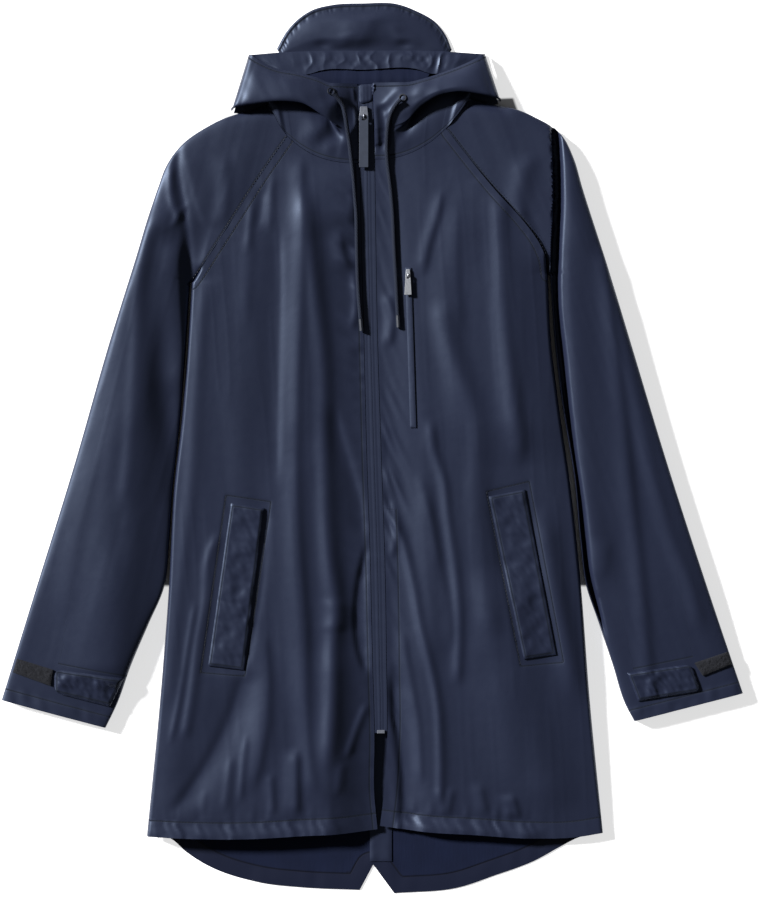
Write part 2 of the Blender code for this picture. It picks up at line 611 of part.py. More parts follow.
def hood_side_grid(side):
    """Outer face of a hood side: rows from the face opening over the roll and under it to the neck."""
    shoulder_shares = even(NECK_COLUMNS) ** 1.6
    shoulder = smooth_curve(side_points(SHOULDER_NECK, side)[::-1], shoulder_shares)
    chest = smooth_curve(side_points(FRONT_NECK, side), even(FRONT_COLUMNS) ** 1.35)
    neck = shifted(join(shoulder, chest), SEAM, (0, 450))
    neck[-1] = zip_edge(side, [neck[-1, 1]])[0]
    shares = chord_shares(neck)
    neck[0] = neck[0] + SHOULDER_CORNER[side]
    front_top = front_grid(side)[-1, :, 2]
    over_shoulder = front_top[0] + (CLOTH + LAID) * smoothstep(1.0, 0.7, shoulder_shares)
    neck_z = join(over_shoulder, front_top)
    neck_z[0] = HOOD[side][0].roll_z
    table = np.array(HOOD[side], float)
    stations = ease_through(table[:, 0], table[:, 1:], shares)
    opening, roll = stations[:, 0:3], stations[:, 3:6]
    tip = np.column_stack([stations[:, 6:8], roll[:, 2]])
    neck = np.column_stack([neck, neck_z])
    lift = np.array([0.0, 0.0, 1.0])
    swell = lift * HOOD_SWELL * (smoothstep(0.0, 0.2, shares) * smoothstep(1.0, 0.8, shares))[:, None]
    corner = 0.9 * smoothstep(0.0, 0.03, shares) * smoothstep(0.4, 0.3, shares)
    fall = np.maximum(np.clip((roll[:, 2:] - neck[:, 2:]) / ROLL_DROPS[-1], 0.0, 1.0), corner[:, None])
    folded = smoothstep(0.0, 10.0, np.linalg.norm(tip - roll, axis=1))[:, None]
    ways = [plan_way(roll, opening)] * 2 + [plan_way(roll, tip)] * 3 + [plan_way(tip, neck)]
    stops = [opening, opening + (roll - opening) * 0.35 + swell, opening + (roll - opening) * 0.72 + swell]
    for start, way, reach, drop, run in zip([roll] * 3 + [tip] * 3, ways, ROLL_REACH, ROLL_DROPS, ROLL_RUNS):
        fold = start + way * reach - lift * drop * fall
        plain = roll + plan_way(roll, neck) * run - lift * drop * fall * 0.35
        stops.append(plain + folded * (fold - plain))
    rise = np.clip(roll[:, 2:] - neck[:, 2:], 0.0, 8.0) * 0.25
    stops.append(neck + (0.3 * folded * (tip - neck) + 0.35 * (1 - folded) * (roll - neck)) * (1, 1, 0) + lift * rise)
    stops.append(neck)
    stops = np.array(stops)
    rows = np.sort(np.r_[np.arange(len(stops)), 0.5, 1.5])
    grid = ease_through(np.arange(len(stops)), stops.reshape(len(stops), -1), rows).reshape(len(rows), -1, 3)
    grid[:, -1, :2] = zip_edge(side, grid[:, -1, 1])
    grid[:, -1, 2] = level("zip", grid[:, -1, 1])
    return grid


def add_hood_side(side, finish):
    grid = hood_side_grid(side)
    rows, columns = grid.shape[:2]
    points = grid.reshape(-1, 3)
    faces = grid_faces(rows, columns)
    over = faces[: 5 * (columns - 1)]
    if not np.array_equal(facing(points, over, upwards=True), over):
        faces = faces[:, ::-1]
    upright = np.zeros((rows, columns), int)
    upright[:, -1] = upright[-2:, :] = -1
    return cloth_wall(f"hood_side_{side}", points, faces, finish, upright)


def add_hood_back(finish):
    """The back of the hood, flat on its outer side and curling up at both ends."""
    across = crowded_ends(14)
    foot, top = smooth_curve(HOOD_FOOT, across), smooth_curve(HOOD_TOP, across)
    along = even(4)[:, None]
    plan = coons(foot, top, foot[0] + along * (top[0] - foot[0]), foot[-1] + along * (top[-1] - foot[-1]),
                 across, even(4))
    x = plan[..., 0]
    from_edge = np.minimum(x - x[:, :1], x[:, -1:] - x)
    z = 2.5 * (1.0 - round_rise(from_edge, 18.0))
    points = np.dstack([plan, z]).reshape(-1, 3)
    return cloth_wall("hood_back", points, facing(points, grid_faces(*x.shape), upwards=False), finish)


def add_hood_facing(finish):
    """The gathered band inside the hood's crown."""
    across = even(40)
    top, foot = smooth_curve(FACING_TOP, across), smooth_curve(FACING_FOOT, across)
    along = even(4)[:, None]
    plan = coons(foot, top, foot[0] + along * (top[0] - foot[0]), foot[-1] + along * (top[-1] - foot[-1]),
                 across, even(4))
    ends = smoothstep(0.0, 0.1, across) * smoothstep(1.0, 0.9, across)
    wave = GATHER_DEPTH * ends * np.sin(2 * np.pi * GATHERS * across)
    z = 8.0 + 2.7 * ends * (1 - along) + wave * np.sin(np.pi * (0.2 + 0.75 * along))
    points = np.dstack([plan, z]).reshape(-1, 3)
    return cloth_wall("hood_facing", points, facing(points, grid_faces(*z.shape), upwards=True), finish)


def add_visor(finish):
    """The peak: fixed under the gathered band, crowned, and down to the floor at its rim."""
    shares = even(20)
    rim, base = smooth_curve(VISOR_RIM, shares), smooth_curve(VISOR_BASE, shares)
    along = even(6)[:, None]
    plan = base[None] + along[..., None] * (rim - base)[None]
    crown = np.sin(np.pi * shares) ** 0.5
    z = DOUBLE + 0.2 + 3.8 * (1 - along) ** 0.7 + 4.0 * np.sin(np.pi * along) * crown * smoothstep(0.0, 0.4, along)
    points = np.dstack([plan, z]).reshape(-1, 3)
    faces = facing(points, grid_faces(*z.shape), upwards=True)
    return cloth_wall("visor", points, faces, finish, thickness=DOUBLE)


# ---------------------------------------------------------------- what lies on the panels


def surface_of(*objects):
    """Highest point of the given objects over plan points, as a function of x and y in mm."""
    verts, polygons = [], []
    for item in objects:
        polygons += [[i + len(verts) for i in p.vertices] for p in item.data.polygons]
        verts += [v.co / MM for v in item.data.vertices]
    tree = BVHTree.FromPolygons(verts, polygons)

    def height(x, y):
        hit = tree.ray_cast(Vector((x, y, 500.0)), Vector((0.0, 0.0, -1.0)))[0]
        return 0.0 if hit is None else hit.z

    return height


def patch_plan(quad, rows, columns):
    """Bilinear plan grid between a Quad's corners."""
    v, u = np.meshgrid(even(rows), even(columns), indexing="ij")
    corners = [np.array(corner, float) for corner in quad]
    weights = ((1 - u) * (1 - v), u * (1 - v), u * v, (1 - u) * v)
    return sum(w[..., None] * c for w, c in zip(weights, corners))


def lay_patch(name, quad, rows, columns, height, finish, thickness=CLOTH, gap=LAID):
    """A patch of cloth that follows the panel below it, a gap above its highest nearby facet."""
    plan = patch_plan(quad, rows, columns)
    reach = ((0, 0), (2, 0), (-2, 0), (0, 2), (0, -2))
    low = np.array([max(height(x + dx, y + dy) for dx, dy in reach) for x, y in plan.reshape(-1, 2)])
    points = np.column_stack([plan.reshape(-1, 2), low + gap + thickness])
    faces = facing(points, grid_faces(rows + 1, columns + 1), upwards=True)
    upright = np.full(len(points), -1)
    return cloth_wall(name, points, faces, finish, upright, thickness)


def add_zip_tape(side, finish):
    """One tape of the main zip, from its stop to the top of the hood, flush with the cloth beside it."""
    y = np.linspace(-336.0, 427.0, 34)
    edge = zip_edge(side, y)
    other = zip_edge(LEFT if side == RIGHT else RIGHT, y)
    middle = (edge + other) / 2
    towards = np.sign(middle[:, :1] - edge[:, :1]) * (1.0, 0.0)
    outer, inner = edge + towards * LAID, middle - towards * SEAM / 2
    plan = np.stack([outer, inner], axis=1)
    points = np.dstack([plan, level("zip", plan[..., 1])]).reshape(-1, 3)
    faces = facing(points, grid_faces(len(y), 2), upwards=True)
    return cloth_wall(f"zip_tape_{side}", points, faces, finish, np.full(len(points), -1))


def slope_at(height, x, y, reach=3.0):
    """Unit normal of the surface over a plan point, from the heights around it."""
    dx = (height(x + reach, y) - height(x - reach, y)) / (2 * reach)
    dy = (height(x, y + reach) - height(x, y - reach)) / (2 * reach)
    return Vector((-dx, -dy, 1.0)).normalized()


def wire_tool(name, path_mm, radius, closed=False):
    """A wire along a path as a welded mesh object, for a union or as a piece of its own."""
    curve = bpy.data.curves.new(name, "CURVE")
    curve.dimensions = "3D"
    curve.bevel_depth = radius * MM
    curve.bevel_resolution = 2
    curve.use_fill_caps = True
    spline = curve.splines.new("POLY")
    spline.points.add(len(path_mm) - 1)
    spline.use_cyclic_u = closed
    for point, place in zip(spline.points, path_mm):
        point.co = (*(c * MM for c in place), 1.0)
    holder = bpy.data.objects.new(name, curve)
    COLLECTION.objects.link(holder)
    mesh = bpy.data.meshes.new_from_object(holder.evaluated_get(bpy.context.evaluated_depsgraph_get()))
    bpy.data.objects.remove(holder, do_unlink=True)
    cage = bmesh.new()
    cage.from_mesh(mesh)
    bmesh.ops.remove_doubles(cage, verts=cage.verts, dist=1e-6)
    cage.to_mesh(mesh)
    cage.free()
    return mesh


def add_tool(name, mesh):
    """A guide object for a Boolean, kept out of the coat."""
    made = bpy.data.objects.new(name, mesh)
    TOOLS.objects.link(made)
    made.hide_render = True
    made.display_type = "WIRE"
    return made


def block_mesh(name, outline, z_low, z_high):
    """A prism on a plan outline given anticlockwise, in mm."""
    cage = bmesh.new()
    foot = cage.faces.new([cage.verts.new((x * MM, y * MM, z_low * MM)) for x, y in outline])
    grown = bmesh.ops.extrude_face_region(cage, geom=[foot])
    top = [v for v in grown["geom"] if isinstance(v, bmesh.types.BMVert)]
    bmesh.ops.translate(cage, verts=top, vec=(0, 0, (z_high - z_low) * MM))
    bmesh.ops.recalc_face_normals(cage, faces=cage.faces)
    mesh = bpy.data.meshes.new(name)
    cage.to_mesh(mesh)
    cage.free()
    return mesh


def cut(target, tool, operation):
    change = target.modifiers.new(operation.lower(), "BOOLEAN")
    change.operation = operation
    change.solver = "EXACT"
    change.object = tool


def bevel(target, width):
    rounding = target.modifiers.new("rounding", "BEVEL")
    rounding.width = width * MM
    rounding.segments = 1
    rounding.limit_method = "ANGLE"


def tapered(x, y_low, y_high, low_width, high_width):
    """Outline of a trapezoid that is symmetric about x."""
    return ((x - low_width / 2, y_low), (x + low_width / 2, y_low),
            (x + high_width / 2, y_high), (x - high_width / 2, y_high))


def add_slider(name, slider, z, finish):
    """A zip slider: a tapered body with a wire bail over it."""
    axis_y, axis_z = slider.y + slider.length * BAIL_SHARE, z + slider.height + slider.axis_rise
    body = add_object(name, block_mesh(name, tapered(slider.x, slider.y, slider.y + slider.length,
                                                     slider.width, slider.neck), z, z + slider.height), finish)
    bevel(body, 0.5)
    angles = np.linspace(0.0, np.pi, 9)
    arch = [(slider.x, axis_y + slider.bail * np.cos(a), axis_z + slider.bail * np.sin(a)) for a in angles]
    foot = z + slider.height - 0.6
    path = [(slider.x, arch[0][1], foot)] + arch + [(slider.x, arch[-1][1], foot)]
    cut(body, add_tool(f"{name}_bail", wire_tool(f"{name}_bail", path, slider.bail_wire)), "UNION")
    return Vector((slider.x, axis_y, axis_z)) * MM


def add_pull(name, slider, axis, finish):
    """A pull tab: a plate with a window round the bail, whose top edge is the bar that it turns on."""
    half = slider.pull_thickness / 2
    outline = tapered(0.0, -slider.pull_length, half, slider.pull_width, slider.pull_top)
    plate = add_object(name, block_mesh(name, outline, -half, half), finish)
    window = tapered(0.0, -slider.window, -half, slider.window_width, slider.window_width)
    tool = add_tool(f"{name}_window", block_mesh(f"{name}_window", window, -5.0, 5.0))
    plate.location = tool.location = axis
    cut(plate, tool, "DIFFERENCE")
    bevel(plate, 0.25)


def add_zip_stop(finish):
    width, length, height = STOP_SIZE
    x, y = STOP_PLACE
    z = float(level("zip", y)) + SEAM
    outline = tapered(x, y - length / 2, y + length / 2, width, width)
    bevel(add_object("zip_stop", block_mesh("zip_stop", outline, z, z + height), finish), 0.4)


def add_eyelet(side, height, finish):
    """A ring on the hood's front, square to the cloth, that a drawcord comes out of."""
    x, y = EYELET_PLACE[side]
    normal = slope_at(height, x, y)
    centre = Vector((x, y, height(x, y))) + normal * (EYELET_WIRE + LAID)
    bpy.ops.mesh.primitive_torus_add(major_segments=16, minor_segments=6, major_radius=EYELET_RADIUS * MM,
                                     minor_radius=EYELET_WIRE * MM)
    ring = bpy.context.active_object
    mesh = ring.data
    bpy.data.objects.remove(ring, do_unlink=True)
    mesh.transform(Matrix.Translation(centre * MM) @ normal.to_track_quat("Z", "Y").to_matrix().to_4x4())
    mesh.materials.clear()
    add_object(f"eyelet_{side}", mesh, finish)


def add_drawcord(side, cord_finish, tip_finish):
    """A drawcord along its route, and the tip on its free end."""
    path = smooth_curve(CORD_ROUTE[side], even(CORD_POINTS - 1))
    add_object(f"drawcord_{side}", wire_tool("cord", path.tolist(), CORD_WIDTH / 2), cord_finish)
    run = path[-1] - path[-2]
    run /= np.linalg.norm(run)
    start = path[-1] + run * SEAM
    tip = wire_tool("tip", [start.tolist(), (start + run * TIP_LENGTH).tolist()], TIP_RADIUS)
    add_object(f"cord_tip_{side}", tip, tip_finish)


# ---------------------------------------------------------------- the coat


def main():
    clear_scene()
    cloth = material("coated_cloth", (0.023, 0.029, 0.052), 0.38)
    inside = material("cloth_wrong_side", (0.020, 0.028, 0.065), 0.75)
    tape = material("zip_tape", (0.020, 0.026, 0.046), 0.6)
    hook_loop = material("hook_and_loop", (0.008, 0.009, 0.014), 0.95)
    cord = material("drawcord", (0.016, 0.021, 0.036), 0.8)
    metal = material("dark_metal", (0.10, 0.11, 0.14), 0.35, 0.9)
    rubber = material("pull_rubber", (0.018, 0.022, 0.035), 0.5)

    add_back(cloth)
    lay_patch("vent_facing", VENT, 8, 2, lambda x, y: CLOTH, cloth, gap=SEAM)
    panels = {}
    for side in (RIGHT, LEFT):
        panels["front", side] = add_front(side, cloth)
        panels["sleeve", side] = add_sleeve(side, cloth)
        panels["hood", side] = add_hood_side(side, cloth)
        panels["tape", side] = add_zip_tape(side, tape)
    add_hood_back(cloth)
    add_hood_facing(cloth)
    lay_patch("neck_facing", NECK_FACING, 2, 10, lambda x, y: CLOTH + 2.4 * float(smoothstep(428, 440, y)),
              inside, gap=SEAM)
    add_visor(cloth)

    for side in (RIGHT, LEFT):
        front_height = surface_of(panels["front", side])
        sleeve_height = surface_of(panels["sleeve", side])
        lay_patch(f"pocket_welt_{side}", POCKET_WELT[side], 12, 3, front_height, cloth, DOUBLE)
        lay_patch(f"cuff_tab_{side}", CUFF_TAB[side], 3, 7, sleeve_height, cloth, DOUBLE)
        lay_patch(f"cuff_strip_{side}", CUFF_STRIP[side], 2, 6, sleeve_height, hook_loop, DOUBLE)
        add_eyelet(side, surface_of(panels["hood", side]), metal)
        add_drawcord(side, cord, rubber)

    middle = surface_of(*(panels[kind, side] for kind in ("front", "hood", "tape") for side in (RIGHT, LEFT)))
    lay_patch("zip_garage", GARAGE, 4, 3, middle, cloth)
    add_zip_stop(metal)
    main_axis = add_slider("zip_slider", MAIN_SLIDER, middle(MAIN_SLIDER.x, MAIN_SLIDER.y) + SEAM + 0.2, metal)
    add_pull("zip_pull", MAIN_SLIDER, main_axis, rubber)
    chest_tape = lay_patch("chest_zip_tape", CHEST_ZIP, 16, 2, surface_of(panels["front", LEFT]), tape)
    on_tape = surface_of(chest_tape, panels["front", LEFT])
    chest_z = max(on_tape(CHEST_SLIDER.x, CHEST_SLIDER.y + step) for step in range(10)) + LAID
    chest_axis = add_slider("chest_zip_slider", CHEST_SLIDER, chest_z, metal)
    add_pull("chest_zip_pull", CHEST_SLIDER, chest_axis, metal)


main()
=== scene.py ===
"""Hooded raincoat laid flat, front side up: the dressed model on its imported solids.

World axes: +X to the wearer's left, +Y towards the hood, +Z up, metres.  The coat rests on z = 0.
Tables and shape formulas are in millimetres.  Creases and a few lines are given as places of the pattern
table, whose step is PATTERN_STEP: a place is (steps across, steps down) from the table's upper corner.
"""

from __future__ import annotations

import json
import logging
import math
from dataclasses import dataclass, field
from enum import Enum
from functools import cached_property
from typing import Any, NamedTuple, Sequence

import bpy
import numpy as np
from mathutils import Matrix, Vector

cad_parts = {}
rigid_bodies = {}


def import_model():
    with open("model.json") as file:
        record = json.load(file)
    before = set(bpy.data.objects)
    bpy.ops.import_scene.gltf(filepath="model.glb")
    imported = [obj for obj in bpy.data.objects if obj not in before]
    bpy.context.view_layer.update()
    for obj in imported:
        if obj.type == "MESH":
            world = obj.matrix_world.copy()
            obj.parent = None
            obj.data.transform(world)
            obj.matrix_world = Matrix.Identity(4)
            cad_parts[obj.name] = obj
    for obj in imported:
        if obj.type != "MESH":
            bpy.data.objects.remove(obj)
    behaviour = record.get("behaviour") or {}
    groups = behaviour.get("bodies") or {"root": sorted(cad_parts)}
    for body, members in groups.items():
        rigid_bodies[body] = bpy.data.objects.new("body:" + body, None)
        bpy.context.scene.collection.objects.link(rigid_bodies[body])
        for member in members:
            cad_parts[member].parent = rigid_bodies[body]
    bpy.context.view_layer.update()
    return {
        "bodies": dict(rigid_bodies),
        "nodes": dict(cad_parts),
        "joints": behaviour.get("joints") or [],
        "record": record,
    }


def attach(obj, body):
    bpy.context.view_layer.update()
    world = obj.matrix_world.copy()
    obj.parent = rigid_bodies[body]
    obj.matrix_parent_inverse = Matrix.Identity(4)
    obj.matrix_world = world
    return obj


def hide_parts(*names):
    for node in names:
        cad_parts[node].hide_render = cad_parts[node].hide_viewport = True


LOG = logging.getLogger("raincoat")
Colour = tuple[float, float, float]
Point = tuple[float, float]
Material = bpy.types.Material

MM = 0.001             # a millimetre in metres
PATTERN_STEP = 1.18    # mm between neighbouring places of the pattern table
PATTERN_ZERO = (371.5, 448.0)    # the place that lies at x = y = 0
CLOTH = 1.2            # wall of one layer of cloth
DOUBLE = 2.2           # wall of two layers with a stiffener
SEAM = 0.3             # gap between pieces that are sewn to each other
LAID = 0.6             # gap between a patch and what it lies on
SIDE_HEIGHT = 9.0      # height of the side seams
SIDE_ROLL = 34.0       # width over which a front rises from its side seam
BACK_ROLL = 24.0       # width over which the back curls up to its side seams
ZIP_ROLL = 60.0        # width over which a front settles to the zip's height
ARM_MIDDLE = 7.6       # height of a sleeve's edges, halfway between its two layers
ARM_RISE = 13.5        # how far a sleeve's upper layer rises above its edges
CUFF_RISE = 8.5        # the same at the cuff
HEM_BAND = 19.0        # from the hem up to its stitches
CUFF_BAND = 14.0       # from the cuff up to its stitches
SLEEVE_STITCH = 1.6    # from the raglan seam to the stitches on the sleeve
CORD_WIDTH = 5.0
CHEST = (0.0, 150.0)   # a plan point inside the coat's body
NAPE = (0.0, 450.0)    # a plan point inside the hood
ARMPIT = 200.0         # height up the coat where a front's side seam rows end and its raglan rows start
STITCH_LINES = 4       # distances to stitch lines that a wall's points hold
NO_LINE = 50.0         # the distance held where there is no stitch line
FAR = 1e9              # farther than anything
TINY = 1e-9            # least length to divide by
COAT = "coat"


class Side(Enum):
    """A side of the wearer."""

    RIGHT = "right"
    LEFT = "left"

    @property
    def other(self) -> "Side":
        """The other side."""
        return Side.LEFT if self is Side.RIGHT else Side.RIGHT

    @property
    def sign(self) -> float:
        """Which way along X this side lies."""
        return -1.0 if self is Side.RIGHT else 1.0


RIGHT, LEFT = Side.RIGHT, Side.LEFT


class Hold(Enum):
    """How a piece of cloth is held where it lies."""

    LAID = "laid"
    GATHERED = "gathered"


# ---------------------------------------------------------------- seams and outlines (mm)


class Seam(NamedTuple):
    """A plan point of a seam on the wearer's right side and the matching one on the left."""

    x_r: float
    y_r: float
    x_l: float
    y_l: float


SIDE_SEAM = (
    Seam(-265, -457, 273, -454),
    Seam(-250, -303, 258, -303),
    Seam(-239, -164, 246, -150),
    Seam(-233, -50, 234, -40),
    Seam(-224, 30, 220, 57),
    Seam(-217, 116, 212, 124),
    Seam(-212, 195, 208, 204),
)
RAGLAN = (
    Seam(-212, 195, 208, 204),
    Seam(-204, 206, 206, 219),
    Seam(-188, 231, 198, 239),
    Seam(-165, 267, 179, 266),
    Seam(-132, 319, 150, 298),
    Seam(-99, 367, 88, 376),
)
BACK_RAGLAN = (
    Seam(-212, 195, 208, 204),
    Seam(-186, 236, 182, 243),
    Seam(-140, 330, 136, 335),
    Seam(-92, 414.5, 86, 418.5),
)
FRONT_NECK = (
    Seam(-99, 367, 88, 376),
    Seam(-82, 353, 69, 360),
    Seam(-58, 341, 45, 347),
    Seam(-35, 336, 23, 341),
    Seam(-14, 335, 4, 340),
)
SHOULDER_NECK = (
    Seam(-99, 367, 88, 376),
    Seam(-108, 380, 99, 389),
    Seam(-115, 393, 108, 401),
    Seam(-122, 406, 116, 413),
)
ZIP_EDGE = (
    Seam(7, -450, 10, -446),
    Seam(3, -405, 15, -405),
    Seam(3.4, -345, 18.6, -345),
    Seam(1, -250, 18, -250),
    Seam(-1.5, -140, 16.3, -140),
    Seam(-6, 0, 11.6, 0),
    Seam(-9.4, 142, 7.2, 142),
    Seam(-12.4, 250, 5.4, 250),
    Seam(-14, 335, 4, 340),
    Seam(-16, 377, 3, 377),
    Seam(-17, 429, 1, 430),
)
FRONT_HEM = (
    Seam(-265, -457, 273, -454),
    Seam(-204, -459.5, 241, -459),
    Seam(-143, -459.5, 182, -460),
    Seam(-82, -456, 123, -456),
    Seam(-21, -453, 64, -452.5),
    Seam(7, -450, 10, -446),
)
BACK_HEM = (
    Seam(-265, -457, 273, -454),
    Seam(-238, -462, 247, -460),
    Seam(-218, -479, 221, -473),
    Seam(-194, -494, 196, -487),
    Seam(-133, -514, 143, -507),
    Seam(-82, -520, 104, -520),
    Seam(-14, -523, 27, -527),
)
NOTCH_TIP = (2.0, -493.0)
BACK_NECK = ((-92, 414.5), (-49, 425), (1, 428), (45, 425), (86, 418.5))

UNDERARM = (
    Seam(-314, -330, 310, -322),
    Seam(-301, -303, 300, -303),
    Seam(-284, -256, 285, -256),
    Seam(-264, -209, 268, -205),
    Seam(-245, -164, 253, -160),
    Seam(-239, -110, 246.5, -110),
    Seam(-235, -50, 240, -40),
    Seam(-226.5, 30, 224.5, 57),
    Seam(-219.5, 116, 216.5, 124),
    Seam(-214.5, 195, 211, 204),
)
SLEEVE_FOLD = (
    Seam(-436, -297, 438, -289),
    Seam(-394, -162, 395, -162),
    Seam(-350, -20, 349, -20),
    Seam(-309, 122, 306, 122),
    Seam(-279, 217, 277, 217),
    Seam(-251, 308, 248, 308),
    Seam(-242, 332, 238, 342),
    Seam(-226, 355, 225, 368),
    Seam(-188, 382, 187, 393),
    Seam(-122, 406, 116, 413),
)
ARMPIT_STATION = 4     # row of SLEEVE_FOLD that lies across the arm from the armpit


class HoodStation(NamedTuple):
    """A station of a hood side, at a share of the way from the outer fold to the zip.

    open_*: edge of the face opening.  roll_*: top of the rolled edge that hangs over the shoulder.
    tip_*: where the cloth that runs back under the roll turns round to the neck.
    """

    share: float
    open_x: float
    open_y: float
    open_z: float
    roll_x: float
    roll_y: float
    roll_z: float
    tip_x: float
    tip_y: float


HOOD = {
    RIGHT: (
        HoodStation(0.00, -145, 465, 5.2, -165, 400, 5.2, -126, 421),
        HoodStation(0.035, -142.5, 463, 16, -162.4, 400.4, 22.5, -124.6, 422.4),
        HoodStation(0.10, -135, 458, 18.5, -152.5, 402, 27, -121, 424.5),
        HoodStation(0.19, -124, 452, 19, -137, 404, 29, -117, 424),
        HoodStation(0.32, -110, 446, 19.5, -112, 406.5, 31.5, -109, 421),
        HoodStation(0.48, -90, 442, 20, -84, 405, 31, -86, 420),
        HoodStation(0.64, -66, 436, 21, -60, 393, 27, -61.5, 405),
        HoodStation(0.80, -46, 429, 21, -42, 381, 23, -42.5, 386),
        HoodStation(1.00, -17, 429, 14, -16, 377, 15, -16, 377),
    ),
    LEFT: (
        HoodStation(0.00, 134, 466, 5.2, 152, 411, 5.2, 119, 429),
        HoodStation(0.035, 132, 464, 16, 149.8, 411.3, 22.5, 117.7, 430.4),
        HoodStation(0.10, 126, 460, 18.5, 141, 413, 27, 114.5, 432),
        HoodStation(0.19, 118, 456, 19, 127, 415.5, 29, 110.5, 432),
        HoodStation(0.32, 103, 449, 19.5, 104, 418, 31.5, 102, 432),
        HoodStation(0.48, 82, 441, 20, 80, 414, 31, 81, 429),
        HoodStation(0.64, 60, 434, 21, 60, 403, 27, 60, 415),
        HoodStation(0.80, 38, 430, 21, 40, 386, 23, 40, 391),
        HoodStation(0.93, 14, 430, 18.4, 16, 380, 19.2, 16, 382),
        HoodStation(1.00, 1, 430, 17.4, 3, 377, 18.2, 3, 377),
    ),
}
ROLL_DROPS = (-0.3, 1.8, 4.0, 5.0, 6.8, 8.6)     # below the roll, from its top round to the tip and back
ROLL_REACH = (3.5, 0.0, 3.0, -2.5, 0.0, 2.5)     # from the roll towards opening or tip, then from the tip
ROLL_RUNS = (0.0, 4.0, 8.0, 12.0, 16.0, 20.0)    # from the roll towards the neck where the cloth is plain
SHOULDER_CORNER = {RIGHT: (-1.5, 4.5), LEFT: (1.5, 4.5)}   # from the sleeve to a hood side's outer corner
HOLLOW_DEPTH = 10.0    # how far the cloth under the roll lies below the roll's own turn
HOLLOW_START = {RIGHT: 0.56, LEFT: 0.45}   # share of the way from neck to turn where it starts down
HOLLOW_FADE = {RIGHT: (0.92, 0.50), LEFT: (0.86, 0.70)}   # shares of the neck seam over which it ends
HOLLOW_LIFT = {RIGHT: 1.0, LEFT: 0.2}      # how far it rises from the neck seam before it goes down
HOOD_SWELL = 3.0       # how far a hood side puffs up between its opening and its roll
HOOD_TOP = ((-145, 465), (-110, 468), (-10, 470), (90, 469), (134, 466))
HOOD_FOOT = ((-163, 396), (-123, 397), (-92, 412), (-49, 426.5), (1, 429.5), (45, 426.5), (86, 417),
             (117, 404), (150, 407))
FACING_TOP = ((-139, 464), (-105, 467), (-10, 469), (88, 468), (128, 465))
FACING_FOOT = ((-128, 452), (-104, 442), (-76, 440.5), (-58, 445.5), (-10, 446), (54, 446.5), (70, 441.5),
               (96, 445), (119, 455))
VISOR_BASE = ((-106, 462), (-10, 462), (89, 462))
VISOR_RIM = ((-112, 472), (-100, 493), (-87, 507), (-70, 518), (-47, 524), (-10, 526),
             (31, 525), (53, 517), (74, 505), (88, 488), (95, 471))


# ---------------------------------------------------------------- heights and folds (mm)


class Level(NamedTuple):
    """Height of the fronts' upper faces and of the zip at a height up the coat."""

    y: float
    right: float
    left: float
    zip: float


LEVELS = (
    Level(-460, 22, 12, 9),
    Level(-380, 22, 15, 11),
    Level(-300, 20, 18, 13),
    Level(-100, 20, 20, 15),
    Level(150, 21, 21, 16),
    Level(260, 20, 20, 16),
    Level(340, 17, 17, 15),
    Level(430, 15, 15, 14),
)


class Fold(NamedTuple):
    """A large fold: a ridge (height above 0) or a trough (below 0) along a bowed line."""

    x_top: float
    y_top: float
    x_foot: float
    y_foot: float
    bow: float
    width: float
    height: float


FOLDS = (
    Fold(-83, 310, -78, -14, 2, 17, 2.0),
    Fold(-82, 20, -80, -345, -6, 19, 2.2),
    Fold(-48, 0, -44, -380, 3, 15, 1.6),
    Fold(-118, -226, -130, -400, 0, 17, 1.6),
    Fold(-150, -262, -232, -430, 6, 26, -2.8),
    Fold(-16, -100, -12, -420, 2, 17, -2.0),
    Fold(-122, 214, -120, -14, 0, 18, -1.2),
    Fold(112, 310, 108, 200, 0, 22, 1.4),
    Fold(163, 270, 166, -20, 3, 16, 1.6),
    Fold(70, 235, 114, 10, 0, 16, 1.8),
    Fold(52, -10, 66, -280, 6, 15, 1.8),
    Fold(82, 10, 110, -230, 6, 15, 1.8),
    Fold(122, -14, 138, -270, 6, 15, 1.6),
    Fold(145, -245, 166, -425, 0, 22, 2.0),
    Fold(-246, 320, -288, -10, 8, 18, 1.4),
    Fold(-262, 230, -300, -160, -3, 13, -1.6),
    Fold(246, 300, 300, -120, -4, 18, 1.4),
)
FOLD_END = 60.0        # length over which a fold fades at each end


# ---------------------------------------------------------------- what lies on the panels (mm)


class Quad(NamedTuple):
    """Corners in order round a patch: two at the foot, then two at the top."""

    foot_0: Point
    foot_1: Point
    top_1: Point
    top_0: Point


POCKET_WELT = {RIGHT: Quad((-192, -256), (-150, -261), (-126, -71), (-165, -65)),
               LEFT: Quad((179, -248), (217, -243), (180, -49), (138, -57))}
CUFF_TAB = {RIGHT: Quad((-373, -288), (-308, -305), (-291, -271), (-373, -260)),
            LEFT: Quad((314, -298), (388, -286), (376, -254), (301, -265))}
CUFF_STRIP = {RIGHT: Quad((-422, -264), (-377.5, -280), (-374.5, -261), (-417, -248)),
              LEFT: Quad((390, -268), (425, -254), (419, -240), (380, -253))}
CHEST_ZIP = Quad((45.5, 24), (52.5, 24), (46.5, 212), (39.5, 212))
GARAGE = Quad((-14, 405), (0, 409), (4.5, 429), (-14.5, 428))
VENT = Quad((-2, -489), (24, -489), (24, -330), (-2, -330))
NECK_FACING = Quad((-66, 422), (60, 422), (56, 441), (-62, 441))

